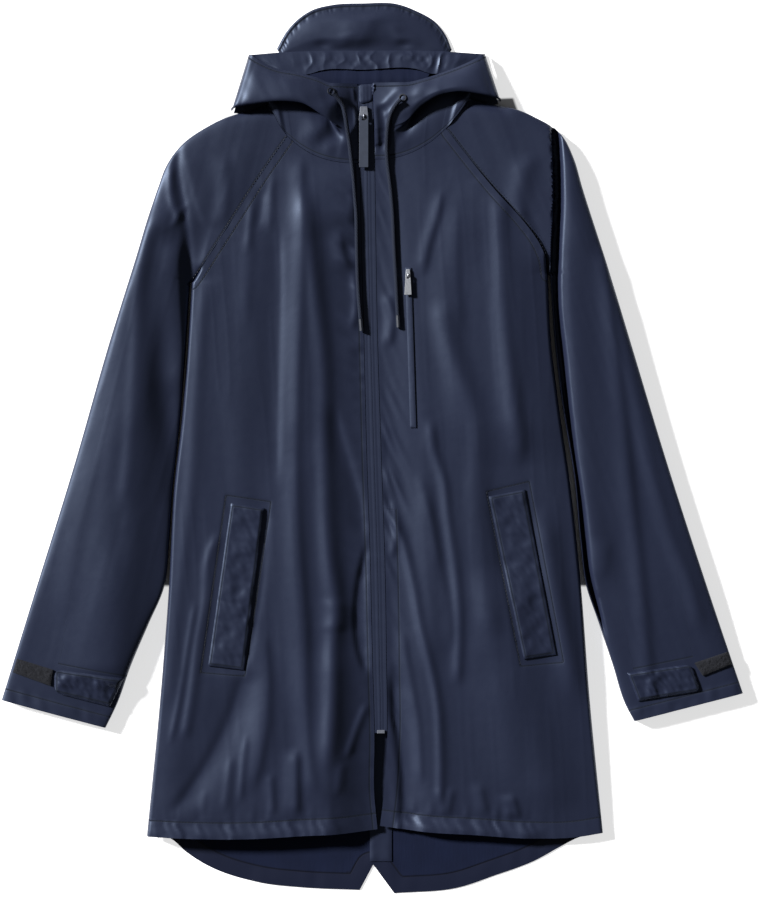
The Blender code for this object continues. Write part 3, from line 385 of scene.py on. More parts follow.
CORD_ROUTE = {
    RIGHT: ((-45.0, 416.0, 30.0), (-41.5, 412.5, 28.8), (-38.0, 408.5, 27.6), (-34.0, 402.5, 26.2),
            (-31.0, 391.0, 24.8), (-28.5, 374.0, 21.5), (-26.0, 358.0, 19.6), (-24.0, 341.0, 18.8),
            (-22.0, 324.0, 18.7), (-20.0, 300.0, 19.0), (-18.0, 277.0, 19.3), (-17.0, 232.0, 19.6),
            (-15.5, 187.0, 19.7), (-12.8, 152.0, 19.7)),
    LEFT: ((34.5, 408.5, 30.8), (31.5, 405.8, 29.6), (28.0, 401.5, 27.4), (23.5, 394.0, 24.9),
           (20.0, 382.0, 22.5), (18.3, 366.0, 21.0), (18.0, 349.0, 19.6), (19.0, 333.0, 18.8),
           (21.0, 317.0, 19.2), (24.0, 289.0, 19.9), (27.0, 232.0, 20.9), (29.5, 187.0, 21.2),
           (31.0, 156.0, 21.4)),
}
CORD_POINTS = 27       # points of a coarse route that is worked out for a cord


# ---------------------------------------------------------------- what is given in pattern places


class Crease(NamedTuple):
    """A crease along a line of pattern places, steeper where its flank is narrower (sizes in mm)."""

    line: tuple[Point, ...]
    left: float
    right: float
    height: float
    fade: float = 45.0


FRONT_CREASES = {
    RIGHT: (
        Crease(((207, 270), (200, 340), (196, 400), (193, 460), (190, 500), (184, 550), (177, 610),
                (168, 710)), 9, 9, 1.1),
        Crease(((219, 530), (209, 560), (206, 600), (199, 640), (193, 690), (185, 742)), 6, 7, 1.5, 20),
        Crease(((197, 596), (188, 650), (180, 700), (170, 748)), 4, 4, 0.9, 25),
        Crease(((247, 668), (232, 715), (213, 755), (192, 788), (174, 814)), 8, 18, -1.8, 20),
        Crease(((262, 625), (267, 680), (266, 720), (259, 760), (250, 796)), 15, 7, 1.6, 30),
        Crease(((247, 730), (240, 806)), 4, 4, 0.9, 20),
        Crease(((232, 752), (225, 814)), 5, 5, 0.9, 18),
        Crease(((300, 150), (301, 201), (300, 303), (297, 400), (296, 455), (298, 540), (304, 620),
                (306, 700), (309, 755), (316, 800)), 12, 7, 1.7, 30),
        Crease(((304, 180), (311, 252), (317, 303), (323, 353), (325, 455), (326, 500), (330, 560),
                (337, 605), (334, 640), (333, 700), (329, 775)), 10, 10, 2.5, 40),
        Crease(((331, 596), (340, 614), (334, 634)), 16, 14, 1.3, 12),
        Crease(((370, 540), (361, 575), (357, 610), (359, 645), (368, 676)), 4, 13, -2.5, 18),
        Crease(((332, 400), (341, 440), (353, 480), (363, 520), (370, 548)), 13, 6, -1.6, 30),
        Crease(((368, 700), (356, 730), (346, 760)), 4, 5, 1.4, 14),
        Crease(((334, 640), (332, 812)), 34, 34, 2.4, 40),
        Crease(((338, 226), (341, 250), (348, 276)), 11, 6, 2.2, 22),
        Crease(((353, 268), (357, 300), (352, 334)), 5, 5, 1.2, 18),
        Crease(((354, 150), (350, 190), (345, 244)), 52, 14, 4.2, 40),
        Crease(((273, 170), (270, 238)), 5, 5, 0.8, 22),
        Crease(((253, 196), (248, 258)), 5, 5, 0.8, 22),
        Crease(((264, 184), (258, 234)), 6, 5, -0.8, 18),
        Crease(((251, 212), (245, 340)), 9, 8, 0.7, 50),
        Crease(((278, 215), (279, 300), (277, 400), (276, 490)), 14, 6, -1.3, 50),
        Crease(((342, 760), (338, 796)), 5, 6, 1.0, 12),
        Crease(((206, 788), (202, 816)), 6, 4, 0.4, 10),
        Crease(((271, 770), (274, 816)), 6, 4, 1.2, 12),
        Crease(((296, 745), (297, 818)), 11, 5, 2.6, 18),
    ),
    LEFT: (
        Crease(((442, 188), (436, 218), (428, 245), (421, 280)), 9, 5, 1.5, 25),
        Crease(((506, 150), (511, 300), (522, 470)), 80, 90, 4.0, 60),
        Crease(((456, 190), (456, 300), (462, 345)), 16, 8, 1.3, 50),
        Crease(((499, 185), (501, 285), (505, 341), (512, 396), (519, 440), (518, 472)), 12, 10, 2.3, 35),
        Crease(((438, 296), (447, 340), (458, 370), (471, 405), (476, 452), (473, 500), (479, 560),
                (484, 600), (491, 640)), 13, 15, 2.0, 30),
        Crease(((430, 415), (434, 450), (443, 480), (448, 520), (455, 570), (459, 620), (457, 690)),
               7, 6, 1.8, 25),
        Crease(((393, 508), (404, 545), (414, 590), (421, 630), (430, 665), (437, 700), (440, 750),
                (440, 808)), 5, 6, 1.9, 25),
        Crease(((401, 625), (410, 680), (417, 720), (421, 790)), 7, 5, 1.3, 25),
        Crease(((424, 490), (437, 560), (447, 610), (449, 655)), 11, 6, 1.2, 30),
        Crease(((418, 470), (432, 520), (440, 570)), 6, 6, 0.8, 25),
        Crease(((508, 560), (511, 680), (528, 740), (545, 790), (552, 825)), 42, 34, 4.6, 50),
        Crease(((541, 500), (553, 580), (566, 640), (578, 710)), 14, 13, 3.0, 50),
        Crease(((386, 660), (390, 700), (396, 722), (402, 760), (401, 870)), 5, 20, -3.6, 40),
        Crease(((391, 500), (396, 520), (392, 560)), 5, 4, 1.3, 14),
        Crease(((388, 290), (392, 320), (388, 350)), 8, 5, 1.6, 16),
        Crease(((452, 785), (446, 818)), 6, 5, 1.2, 12),
        Crease(((478, 780), (486, 818)), 8, 5, 1.4, 14),
        Crease(((510, 792), (518, 820)), 14, 5, 2.2, 10),
        Crease(((440, 785), (443, 818)), 9, 4, 1.0, 12),
    ),
}
HOOD_CREASES = {
    RIGHT: (
        Crease(((333, 98), (323, 124), (309, 148)), 15, 8, 1.9, 14),
        Crease(((347, 98), (343, 127), (318, 149)), 13, 18, -2.6, 14),
        Crease(((352, 85), (356, 106)), 2.5, 3, 1.2, 6),
        Crease(((331, 138), (326, 162)), 6, 7, 0.5, 12),
        Crease(((345, 132), (340, 162)), 4, 6, 0.5, 10),
    ),
    LEFT: (
        Crease(((402, 86), (391, 98), (380, 110)), 3, 5, 0.8, 8),
        Crease(((409, 94), (397, 106), (384, 120)), 3, 5, 0.7, 8),
        Crease(((375, 104), (377, 128), (379, 152)), 1.6, 1.6, 0.6, 8),
        Crease(((381, 104), (384, 128), (383, 152)), 6, 6, -2.8, 10),
        Crease(((390, 110), (394, 132), (389, 152)), 2, 4, 0.7, 10),
        Crease(((426, 78), (415, 102)), 6, 8, 0.8, 8),
    ),
}
VISOR_CREASES = (
    Crease(((372, 10), (364, 30), (352, 50)), 40, 16, 3.6, 14),
    Crease(((352, 30), (340, 50)), 9, 8, 0.7, 8),
    Crease(((392, 20), (404, 46)), 8, 12, 0.8, 10),
)
SLEEVE_CREASES = {
    RIGHT: (
        Crease(((180, 140), (178, 170), (181, 190), (184, 206), (187, 230), (190, 262), (192, 300),
                (191, 345)), 5, 5, -2.0, 20),
        Crease(((186, 152), (192, 180), (200, 208), (210, 232)), 4, 15, 1.0, 16),
        Crease(((224, 150), (226, 195), (222, 232)), 11, 8, 1.6, 24),
        Crease(((241, 138), (238, 175), (231, 216)), 12, 12, 0.8, 28),
        Crease(((172, 164), (172, 195), (181, 224)), 5, 4, 1.5, 14),
        Crease(((186, 204), (173, 230)), 4, 4, 1.2, 8),
        Crease(((160, 195), (149, 243), (143, 270), (138, 340), (134, 400), (130, 450), (123, 528),
                (116, 590), (108, 700)), 46, 34, 8.2, 44),
        Crease(((158, 210), (148, 245), (143, 270), (138, 340), (134, 400), (130, 450), (124, 520)),
               8, 9, 1.5, 40),
        Crease(((158, 215), (157, 290), (158, 340), (164, 400), (174, 450), (178, 520)), 16, 16, -2.6, 40),
        Crease(((178, 232), (179, 300), (182, 350), (184, 400)), 18, 7, 4.0, 34),
        Crease(((99, 440), (78, 540), (62, 630)), 14, 10, 0.9, 50),
    ),
    LEFT: (
        Crease(((570, 120), (571, 200), (570, 280), (575, 360), (582, 440), (591, 520), (602, 600)),
               12, 20, 3.4, 60),
        Crease(((603, 235), (607, 300), (617, 380), (624, 440), (630, 500), (638, 570), (644, 630),
                (650, 700)), 11, 7, 2.2, 40),
        Crease(((612, 275), (624, 350), (639, 415), (651, 470), (665, 525), (690, 590), (702, 640)),
               11, 9, 1.9, 40),
        Crease(((606, 534), (600, 582)), 13, 8, 0.8, 18),
        Crease(((530, 150), (519, 196), (517, 232)), 14, 12, 2.3, 24),
        Crease(((516, 206), (534, 236)), 5, 5, 1.0, 10),
    ),
}
POCKET_FRAME = {RIGHT: ((226.5, 495), (271.4, 501.6), (245.4, 675.6), (201.2, 672)),
                LEFT: ((486, 491.5), (528.7, 481.3), (563, 661.7), (520, 665.4))}
POCKET_GAP = {RIGHT: Crease(((268.5, 506), (260.5, 590), (246.5, 668)), 2.6, 5.0, -1.0, 18),
              LEFT: Crease(((486.5, 500), (503, 580), (520, 656)), 3, 3, -0.5, 18)}
HOOD_SHADE = {RIGHT: ((236, 107), (262, 104), (290, 104)), LEFT: ((460, 99), (480, 99), (502, 102))}
CUFF_SEAM = {RIGHT: ((60, 663), (129, 676)), LEFT: ((633, 668), (692, 656))}
VISOR_DIMPLES = ((323, 44), (404, 44))

# The strip along the body in which the left arm sinks.
GAP_EDGE = ((557, 120), (558, 140), (559.5, 200), (557.5, 250), (557, 300), (563, 360), (567, 400),
            (574, 460), (580, 500), (584.5, 540), (588, 570), (595, 600), (605, 640))
GAP_WIDTH = 6.0        # its width above the armpit (mm)
GAP_WALL = 5.0         # width over which the arm rises from it (mm)
GAP_LEVEL = 3.4        # least height of its bottom (mm)


# ---------------------------------------------------------------- what differs between the sides


class Seeds(NamedTuple):
    """Seeds of a side's ripples."""

    puckers: int
    streaks: int
    sleeve_streaks: int
    cuff: int
    hood: int


SEEDS = {RIGHT: Seeds(31, 5, 23, 61, 101), LEFT: Seeds(47, 17, 37, 67, 113)}


class Draw(NamedTuple):
    """How a front's stitching draws its cloth (mm)."""

    middle: float                 # height up the coat where the zip's puckers are strongest
    width: float                  # how far they reach from there
    most: float                   # how much they gain there
    lean: float                   # their slant
    pitch: float                  # their width
    hem_far: tuple[float, float]  # distances from the zip between which the drawing of the hem changes
    hem_near: tuple[float, float]
    tilt: float                   # how far the hem band rises to its edge
    crush: float                  # height of its crumples
    placket: float                # from the zip to the stitches beside it
    placket_top: float            # height up the coat where those stitches end


DRAW = {RIGHT: Draw(180.0, 90.0, 1.3, 0.5, 8.5, (30.0, 60.0), (-2.0, -1.0), 2.3, 1.3, 5.0, FAR),
        LEFT: Draw(-35.0, 75.0, 1.9, 1.9, 13.0, (200.0, 165.0), (16.0, 24.0), 4.4, 1.5, 15.0, -70.0)}
ARM_SLOPE = {RIGHT: 0.7, LEFT: 1.0}      # height of a sleeve's underarm half, as a share of the rest
TAB_ROUNDS = {RIGHT: (9.0, 0.0, 0.0, 9.0), LEFT: (0.0, 9.0, 9.0, 0.0)}   # radii of a cuff tab's corners


# ---------------------------------------------------------------- curves, grids and heights


def place(spots: Sequence[Sequence[float]]) -> np.ndarray:
    """Plan points in mm of pattern places: steps from the zero place, across and down."""
    return (np.asarray(spots, float) - PATTERN_ZERO) * (PATTERN_STEP, -PATTERN_STEP)


def side_points(table: Sequence[Seam], side: Side) -> np.ndarray:
    """The plan points of a seam table for one side."""
    first = 0 if side is RIGHT else 2
    return np.array(table, float)[:, first:first + 2]


def ease_through(knots: Any, values: Any, at: Any, steady: bool = False) -> np.ndarray:
    """Cubic Hermite curve through values at rising knots, with the slopes of its neighbours' chords.

    Args:
        knots: rising numbers.
        values: a row of numbers for each knot.
        at: where the curve is read, held between the first and the last knot.
        steady: hold each slope to three times the flatter chord beside it, so that nothing overshoots.

    Returns:
        A row of numbers for each place in at.
    """
    knots = np.asarray(knots, float)
    values = np.asarray(values, float).reshape(len(knots), -1)
    steps = np.diff(knots)[:, None]
    chords = np.diff(values, axis=0) / steps
    inner = (chords[:-1] * steps[1:] + chords[1:] * steps[:-1]) / (steps[:-1] + steps[1:])
    if steady:
        most = 3.0 * np.minimum(np.abs(chords[:-1]), np.abs(chords[1:]))
        inner = np.clip(inner, -most, most)
    slopes = np.vstack([chords[:1], inner, chords[-1:]])
    at = np.clip(np.asarray(at, float), knots[0], knots[-1])
    i = np.clip(np.searchsorted(knots, at, side="right") - 1, 0, len(knots) - 2)
    h = steps[i]
    s = (at - knots[i])[:, None] / h
    return ((2 * s**3 - 3 * s**2 + 1) * values[i] + (s**3 - 2 * s**2 + s) * h * slopes[i]
            + (-2 * s**3 + 3 * s**2) * values[i + 1] + (s**3 - s**2) * h * slopes[i + 1])


def chord_shares(points: np.ndarray) -> np.ndarray:
    """Share of a polyline's length at each of its points."""
    lengths = np.r_[0.0, np.cumsum(np.linalg.norm(np.diff(points, axis=0), axis=1))]
    return lengths / lengths[-1]


def smooth_curve(points: Any, shares: np.ndarray) -> np.ndarray:
    """Points at shares of the length of a smooth curve through the given points."""
    points = np.asarray(points, float)
    return ease_through(chord_shares(points), points, shares)


def even(count: int) -> np.ndarray:
    """Shares 0 to 1 in count equal steps."""
    return np.linspace(0.0, 1.0, count + 1)


def crowded_ends(count: int) -> np.ndarray:
    """Shares 0 to 1 in count steps that crowd towards both ends: half of 1 minus a cosine."""
    return (1.0 - np.cos(np.pi * even(count))) / 2.0


def join(first: np.ndarray, second: np.ndarray) -> np.ndarray:
    """Two lines that share a point, as one."""
    return np.concatenate([first, second[1:]])


def coons(foot: np.ndarray, top: np.ndarray, start: np.ndarray, end: np.ndarray,
          across: np.ndarray, along: np.ndarray) -> np.ndarray:
    """Plan grid between four seam lines: the blends of opposite lines less the blend of the corners.

    Args:
        foot: lower line, a point for each share in across.
        top: upper line, likewise.
        start: line at across 0, a point for each share in along.
        end: line at across 1, likewise.
        across: rising shares from start to end.
        along: rising shares from foot to top.

    Returns:
        Rows × columns × 2 plan points.
    """
    u = np.asarray(across)[None, :, None]
    v = np.asarray(along)[:, None, None]
    lines = (1 - v) * foot[None] + v * top[None] + (1 - u) * start[:, None] + u * end[:, None]
    corners = (1 - v) * ((1 - u) * foot[0] + u * foot[-1]) + v * ((1 - u) * top[0] + u * top[-1])
    return lines - corners


def smoothstep(low: Any, high: Any, value: Any) -> np.ndarray:
    """0 up to low and 1 from high, 3t² − 2t³ between."""
    t = np.clip((value - low) / (high - low), 0.0, 1.0)
    return t * t * (3.0 - 2.0 * t)


def bell(distance: Any, width: float) -> np.ndarray:
    """exp(−(distance / width)²)."""
    return np.exp(-((np.asarray(distance) / width) ** 2))


def round_rise(distance: Any, width: float, power: float = 2.5) -> np.ndarray:
    """0 at an edge and 1 from width inwards: 1 − (1 − distance / width)^power."""
    return 1.0 - (1.0 - np.clip(distance / width, 0.0, 1.0)) ** power


def fold_over(share: np.ndarray) -> np.ndarray:
    """1 inside, falling round to 0 at a fold line where share is 1: (1 − share^6)^(1 / 6)."""
    return (1.0 - share**6) ** (1 / 6)


def fold_height(x: np.ndarray, y: np.ndarray) -> np.ndarray:
    """Sum of the large folds: each a bell across its bowed line, fading at both ends."""
    total = np.zeros_like(x)
    for fold in FOLDS:
        run = np.array([fold.x_foot - fold.x_top, fold.y_foot - fold.y_top], float)
        length = np.hypot(*run)
        run /= length
        along = (x - fold.x_top) * run[0] + (y - fold.y_top) * run[1]
        across = (x - fold.x_top) * run[1] - (y - fold.y_top) * run[0]
        across = across + fold.bow * np.sin(np.pi * np.clip(along / length, 0.0, 1.0))
        fade = smoothstep(0, FOLD_END, along) * smoothstep(0, FOLD_END, length - along)
        total += fold.height * fade * bell(across, fold.width)
    return total


def crease_height(creases: Sequence[Crease], x: np.ndarray, y: np.ndarray) -> np.ndarray:
    """Sum of creases: each a bell whose two flanks have their own widths, fading at both ends.

    Args:
        creases: the creases, each on a line that runs down the coat.
        x: plan places in mm.
        y: plan places in mm, of the same shape.

    Returns:
        Heights in mm, of the same shape.
    """
    total = np.zeros_like(x)
    for crease in creases:
        line = place(crease.line)[::-1]
        run = line[-1] - line[0]
        middle = ease_through(line[:, 1], line[:, 0], y.ravel())[:, 0].reshape(y.shape)
        across = (x - middle) * abs(run[1]) / np.hypot(*run)
        flank = bell(across, crease.left) * (across < 0) + bell(across, crease.right) * (across >= 0)
        fade = smoothstep(0, crease.fade, y - line[0, 1]) * smoothstep(0, crease.fade, line[-1, 1] - y)
        total += crease.height * fade * flank
    return total


class Ripple:
    """Smooth uneven waves of a seeded table of numbers."""

    SIZE = 96

    def __init__(self, seed: int) -> None:
        """Draws the table for a seed."""
        self.table = np.random.default_rng(seed).uniform(-1.0, 1.0, (self.SIZE, self.SIZE))

    def at(self, u: Any, v: Any) -> np.ndarray:
        """Value between −1 and 1 at u, v: the four numbers around it, blended by 6t⁵ − 15t⁴ + 10t³."""
        u, v = np.broadcast_arrays(np.asarray(u, float), np.asarray(v, float))
        i, j = np.floor(u).astype(int), np.floor(v).astype(int)
        s, t = u - i, v - j
        s, t = (w**3 * (w * (w * 6 - 15) + 10) for w in (s, t))
        i, j, k, m = (index % self.SIZE for index in (i, j, i + 1, j + 1))
        table = self.table
        return ((1 - s) * (1 - t) * table[i, j] + s * (1 - t) * table[k, j]
                + (1 - s) * t * table[i, m] + s * t * table[k, m])


def streaks(x: np.ndarray, y: np.ndarray, seed: int) -> np.ndarray:
    """Long shallow creases: stretched ripples at three sizes, sharpened towards their crests.

    Args:
        x: plan places in mm.
        y: plan places in mm.
        seed: which set of ripples.

    Returns:
        Heights in mm, about ±0.6.
    """
    lean = x + 0.06 * y
    wide = Ripple(seed).at(lean / 26.0 + 40, y / 190.0 + 40)
    middle = Ripple(seed + 1).at(lean / 13.0 + 40, y / 120.0 + 40)
    fine = Ripple(seed + 2).at((x - 0.1 * y) / 6.5 + 60, y / 70.0 + 60)
    sharp = 1.0 - np.abs(middle)
    return 0.9 * wide + 0.35 * (sharp**2 - 0.45) + 0.05 * fine


def level(column: str, y: Any) -> np.ndarray:
    """A height of the LEVELS table at y."""
    y = np.asarray(y, float)
    rows = [row.y for row in LEVELS]
    values = [getattr(row, column) for row in LEVELS]
    return ease_through(rows, values, y.ravel())[:, 0].reshape(y.shape)


def zip_edge(side: Side, y: Any) -> np.ndarray:
    """Points of a front's zip edge at heights y up the coat."""
    points = side_points(ZIP_EDGE, side)
    return np.stack([ease_through(points[:, 1], points[:, 0], y)[:, 0], np.asarray(y, float)], axis=1)


def shifted(line: np.ndarray, amount: float, towards: Sequence[float]) -> np.ndarray:
    """A seam line moved square to itself, on the side where the plan point towards lies."""
    tangent = np.gradient(line, axis=0)
    normal = np.stack([-tangent[:, 1], tangent[:, 0]], axis=1)
    normal /= np.linalg.norm(normal, axis=1)[:, None]
    middle = len(line) // 2
    if np.dot(normal[middle], np.asarray(towards) - line[middle]) < 0:
        normal = -normal
    return line + normal * amount


def raglan_seam(side: Side, rows: int) -> tuple[np.ndarray, np.ndarray, np.ndarray]:
    """The raglan seam in plan, its height without folds, and the share of the folds that reaches it."""
    line = smooth_curve(side_points(RAGLAN, side), even(rows))
    rise = smoothstep(0.0, 0.12, even(rows))
    height = ARM_MIDDLE + (level(side.value, line[:, 1]) - ARM_MIDDLE) * rise
    return line, height, rise


def distance_to(line: np.ndarray, x: np.ndarray, y: np.ndarray) -> np.ndarray:
    """Shortest plan distance from places to a polyline: over its runs, to each run's nearest point.

    Args:
        line: the polyline's plan points.
        x: plan places in mm.
        y: plan places in mm, of the same shape.

    Returns:
        Distances in mm, of the same shape.
    """
    best = np.full(x.shape, FAR)
    for start, end in zip(line[:-1], line[1:]):
        run = end - start
        share = ((x - start[0]) * run[0] + (y - start[1]) * run[1]) / max(float(run @ run), TINY)
        share = np.clip(share, 0.0, 1.0)
        best = np.minimum(best, np.hypot(x - start[0] - share * run[0], y - start[1] - share * run[1]))
    return best


def outline_distance(corners: np.ndarray, x: np.ndarray, y: np.ndarray) -> np.ndarray:
    """Signed plan distance to a four-cornered outline, below 0 inside: the largest of its sides'."""
    middle = corners.mean(axis=0)
    best = np.full(x.shape, -FAR)
    for start, end in zip(corners, np.roll(corners, -1, axis=0)):
        run = (end - start) / np.linalg.norm(end - start)
        normal = np.array([run[1], -run[0]])
        if normal @ (middle - start) > 0:
            normal = -normal
        best = np.maximum(best, (x - start[0]) * normal[0] + (y - start[1]) * normal[1])
    return best


# ---------------------------------------------------------------- meshes


def grid_faces(rows: int, columns: int) -> np.ndarray:
    """Quads of a grid of points given row by row."""
    r, c = np.meshgrid(np.arange(rows - 1), np.arange(columns - 1), indexing="ij")
    a = (r * columns + c).ravel()
    return np.stack([a, a + 1, a + columns + 1, a + columns], axis=1)


def face_squares(points: np.ndarray, faces: np.ndarray) -> np.ndarray:
    """Cross product of each quad's diagonals: its normal, as long as twice its area."""
    p = points[faces]
    return np.cross(p[:, 2] - p[:, 0], p[:, 3] - p[:, 1])


def point_normals(points: np.ndarray, faces: np.ndarray) -> np.ndarray:
    """Unit normals at the points, summed from the faces round each."""
    square = face_squares(points, faces)
    normals = np.zeros_like(points)
    for corner in range(4):
        for axis in range(3):
            normals[:, axis] += np.bincount(faces[:, corner], square[:, axis], len(points))
    return normals / np.maximum(np.linalg.norm(normals, axis=1), TINY)[:, None]


def grid_normals(grid: np.ndarray) -> np.ndarray:
    """Unit normals of a grid's points that face up on the whole."""
    points = grid.reshape(-1, 3)
    faces = grid_faces(*grid.shape[:2])
    normals = point_normals(points, faces)
    if face_squares(points, faces)[:, 2].sum() < 0:
        normals = -normals
    return normals.reshape(grid.shape)


def added(name: str, data: Any) -> bpy.types.Object:
    """A new object in the scene that holds a mesh, a light or a camera."""
    made = bpy.data.objects.new(name, data)
    bpy.context.scene.collection.objects.link(made)
    return made


def new_piece(name: str, points: np.ndarray, faces: list, finish: Material,
              sharp: float = 50.0) -> bpy.types.Object:
    """A shown piece from points in mm and faces, smooth but for edges sharper than an angle in degrees.

    Args:
        name: the piece's name.
        points: corner points in mm.
        faces: corner numbers of each face.
        finish: its material.
        sharp: angle between faces from which an edge is hard.

    Returns:
        The new object, at the origin.
    """
    mesh = bpy.data.meshes.new(name)
    mesh.from_pydata((points * MM).tolist(), [], faces)
    mesh.materials.append(finish)
    mesh.shade_smooth()
    mesh.set_sharp_from_angle(angle=math.radians(sharp))
    return added(name, mesh)


@dataclass
class Wall:
    """A closed wall of cloth: a grid of outer points, the same moved in by the thickness, and a rim.

    upright: -1 or 1 where the wall stands straight down or up.  round_rows: rows whose ends meet.
    up_columns: columns of the upper part.  lines: each point's distances to the stitch lines in mm.
    upwards: whether the outer face's upper part faces up.
    """

    name: str
    grid: np.ndarray
    thickness: float = CLOTH
    upright: np.ndarray | None = None
    round_rows: int = 0
    up_columns: int | None = None
    lines: tuple[np.ndarray, ...] = ()
    upwards: bool = True

    def faces(self) -> np.ndarray:
        """Quads of the outer face, turned so that its upper part faces the way that is asked for."""
        rows, columns = self.grid.shape[:2]
        faces = grid_faces(rows, columns)
        limit = columns - 1 if self.up_columns is None else self.up_columns
        upper = faces[(faces[:, 0] % columns) < limit]
        if (face_squares(self.grid.reshape(-1, 3), upper)[:, 2].sum() > 0) != self.upwards:
            faces = faces[:, ::-1]
        welded = np.arange(rows * columns)
        closed = np.arange(self.round_rows)
        welded[closed * columns + columns - 1] = closed * columns
        return welded[faces]

    def build(self, finish: Material) -> bpy.types.Object:
        """The wall as a new piece.

        Args:
            finish: its material.

        Returns:
            The piece, whose attributes line_1 and so on hold the distances to its stitch lines.
        """
        outer = self.grid.reshape(-1, 3)
        faces = self.faces()
        inward = -point_normals(outer, faces)
        if self.upright is not None:
            marks = self.upright.ravel()
            inward[marks != 0] = marks[marks != 0, None] * (0, 0, 1)
        used = np.unique(faces)
        spot = np.full(len(outer), -1)
        spot[used] = np.arange(len(used))
        faces = spot[faces]
        count = len(used)
        first, second = faces.ravel(), np.roll(faces, -1, axis=1).ravel()
        alone = ~np.isin(first * count + second, second * count + first)
        rim = np.stack([second, first, first + count, second + count], axis=1)[alone]
        points = np.vstack([outer[used], (outer + inward * self.thickness)[used]])
        quads = np.vstack([faces, faces[:, ::-1] + count, rim])
        piece = new_piece(self.name, points, quads.tolist(), finish)
        values = np.full((STITCH_LINES, 2 * count), NO_LINE, np.float32)
        for number, line in enumerate(self.lines):
            values[number, :count] = line.ravel()[used]
        for number, row in enumerate(values, 1):
            piece.data.attributes.new(f"line_{number}", "FLOAT", "POINT").data.foreach_set("value", row)
        return piece

    def area(self) -> float:
        """Area of the outer face in square metres."""
        squares = face_squares(self.grid.reshape(-1, 3), grid_faces(*self.grid.shape[:2]))
        return float(np.linalg.norm(squares, axis=1).sum() / 2) * MM * MM

    def reach(self) -> tuple[float, float]:
        """Longest way across and along the outer face, in metres."""
        across = np.linalg.norm(np.diff(self.grid, axis=1), axis=2).sum(axis=1).max()
        along = np.linalg.norm(np.diff(self.grid, axis=0), axis=2).sum(axis=0).max()
        return float(across) * MM, float(along) * MM

    def declare(self, piece: bpy.types.Object, nodes: Sequence[str]) -> None:
        """Puts the built piece on the coat, hides the CAD nodes that it stands for, and logs its cut.

        Args:
            piece: the piece.
            nodes: CAD nodes that it stands for.
        """
        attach(piece, COAT)
        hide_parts(*nodes)
        width, length = self.reach()
        area = self.area()
        LOG.info("%s: %d points, cut %.0f × %.0f mm, %.4f m²", piece.name, len(piece.data.vertices),
                 width * 1000, length * 1000, area)

    def sew(self, finish: Material, *nodes: str, slot: str = "coated_cloth",
            hold: Hold = Hold.LAID) -> None:
        """Builds the wall in a finish and puts it on the coat for some CAD nodes."""
        self.declare(self.build(finish), nodes)


def lie_on(grids: Sequence[np.ndarray], plan: np.ndarray) -> tuple[np.ndarray, np.ndarray]:
    """Heights and normals of the highest of some grids under plan points.

    Each grid gives the height of its nearest point's tangent plane, where that point is within reach.

    Args:
        grids: upper faces, rows × columns × 3.
        plan: points × 2, in mm.

    Returns:
        Heights (points) and unit normals (points × 3).
    """
    reach, most_pairs, least_up = 8.0, 8_000_000, 0.15
    height = np.full(len(plan), -FAR)
    normal = np.tile((0.0, 0.0, 1.0), (len(plan), 1))
    for grid in grids:
        points, normals = grid.reshape(-1, 3), grid_normals(grid).reshape(-1, 3)
        low, high = plan.min(axis=0) - reach, plan.max(axis=0) + reach
        near = np.all((points[:, :2] > low) & (points[:, :2] < high), axis=1) & (normals[:, 2] > least_up)
        points, normals = points[near], normals[near]
        if not len(points):
            continue
        for part in np.array_split(np.arange(len(plan)), len(plan) * len(points) // most_pairs + 1):
            away = plan[part][:, None, :] - points[None, :, :2]
            squared = (away**2).sum(axis=2)
            closest = squared.argmin(axis=1)
            offset = plan[part] - points[closest, :2]
            n = normals[closest]
            z = points[closest, 2] - (offset * n[:, :2]).sum(axis=1) / np.maximum(n[:, 2], 0.3)
            better = (squared[np.arange(len(part)), closest] < reach**2) & (z > height[part])
            height[part] = np.where(better, z, height[part])
            normal[part] = np.where(better[:, None], n, normal[part])
    return height, normal


# ---------------------------------------------------------------- finishes


class Wire:
    """A number's socket that takes part in sums and products as a value would."""

    def __init__(self, recipe: "Recipe", socket: bpy.types.NodeSocket) -> None:
        """Keeps the recipe that new nodes go into."""
        self.recipe = recipe
        self.socket = socket

    def _math(self, operation: str, *values: Any) -> "Wire":
        """A Math node on some values."""
        return self.recipe.node("ShaderNodeMath", {"operation": operation}, dict(enumerate(values)), 0)

    def __add__(self, other: Any) -> "Wire":
        """self + other."""
        return self._math("ADD", self, other)

    def __radd__(self, other: Any) -> "Wire":
        """other + self."""
        return self._math("ADD", other, self)

    def __sub__(self, other: Any) -> "Wire":
        """self − other."""
        return self._math("SUBTRACT", self, other)

    def __rsub__(self, other: Any) -> "Wire":
        """other − self."""
        return self._math("SUBTRACT", other, self)

    def __mul__(self, other: Any) -> "Wire":
        """self × other."""
        return self._math("MULTIPLY", self, other)

    def __rmul__(self, other: Any) -> "Wire":
        """other × self."""
        return self._math("MULTIPLY", other, self)

    def __truediv__(self, other: Any) -> "Wire":
        """self ÷ other."""
        return self._math("DIVIDE", self, other)

    def __abs__(self) -> "Wire":
        """Size of self."""
        return self._math("ABSOLUTE", self)

    def larger(self, other: Any) -> "Wire":
        """The larger of self and other."""
        return self._math("MAXIMUM", self, other)

    def held(self) -> "Wire":
        """self held between 0 and 1."""
        return self._math("MINIMUM", self.larger(0.0), 1.0)

    def wave(self) -> "Wire":
        """Sine of self."""
        return self._math("SINE", self)


def opaque(colour: Any) -> Any:
    """A wire as it is, or red, green and blue with full alpha."""
    return colour if isinstance(colour, Wire) else (*colour, 1.0)


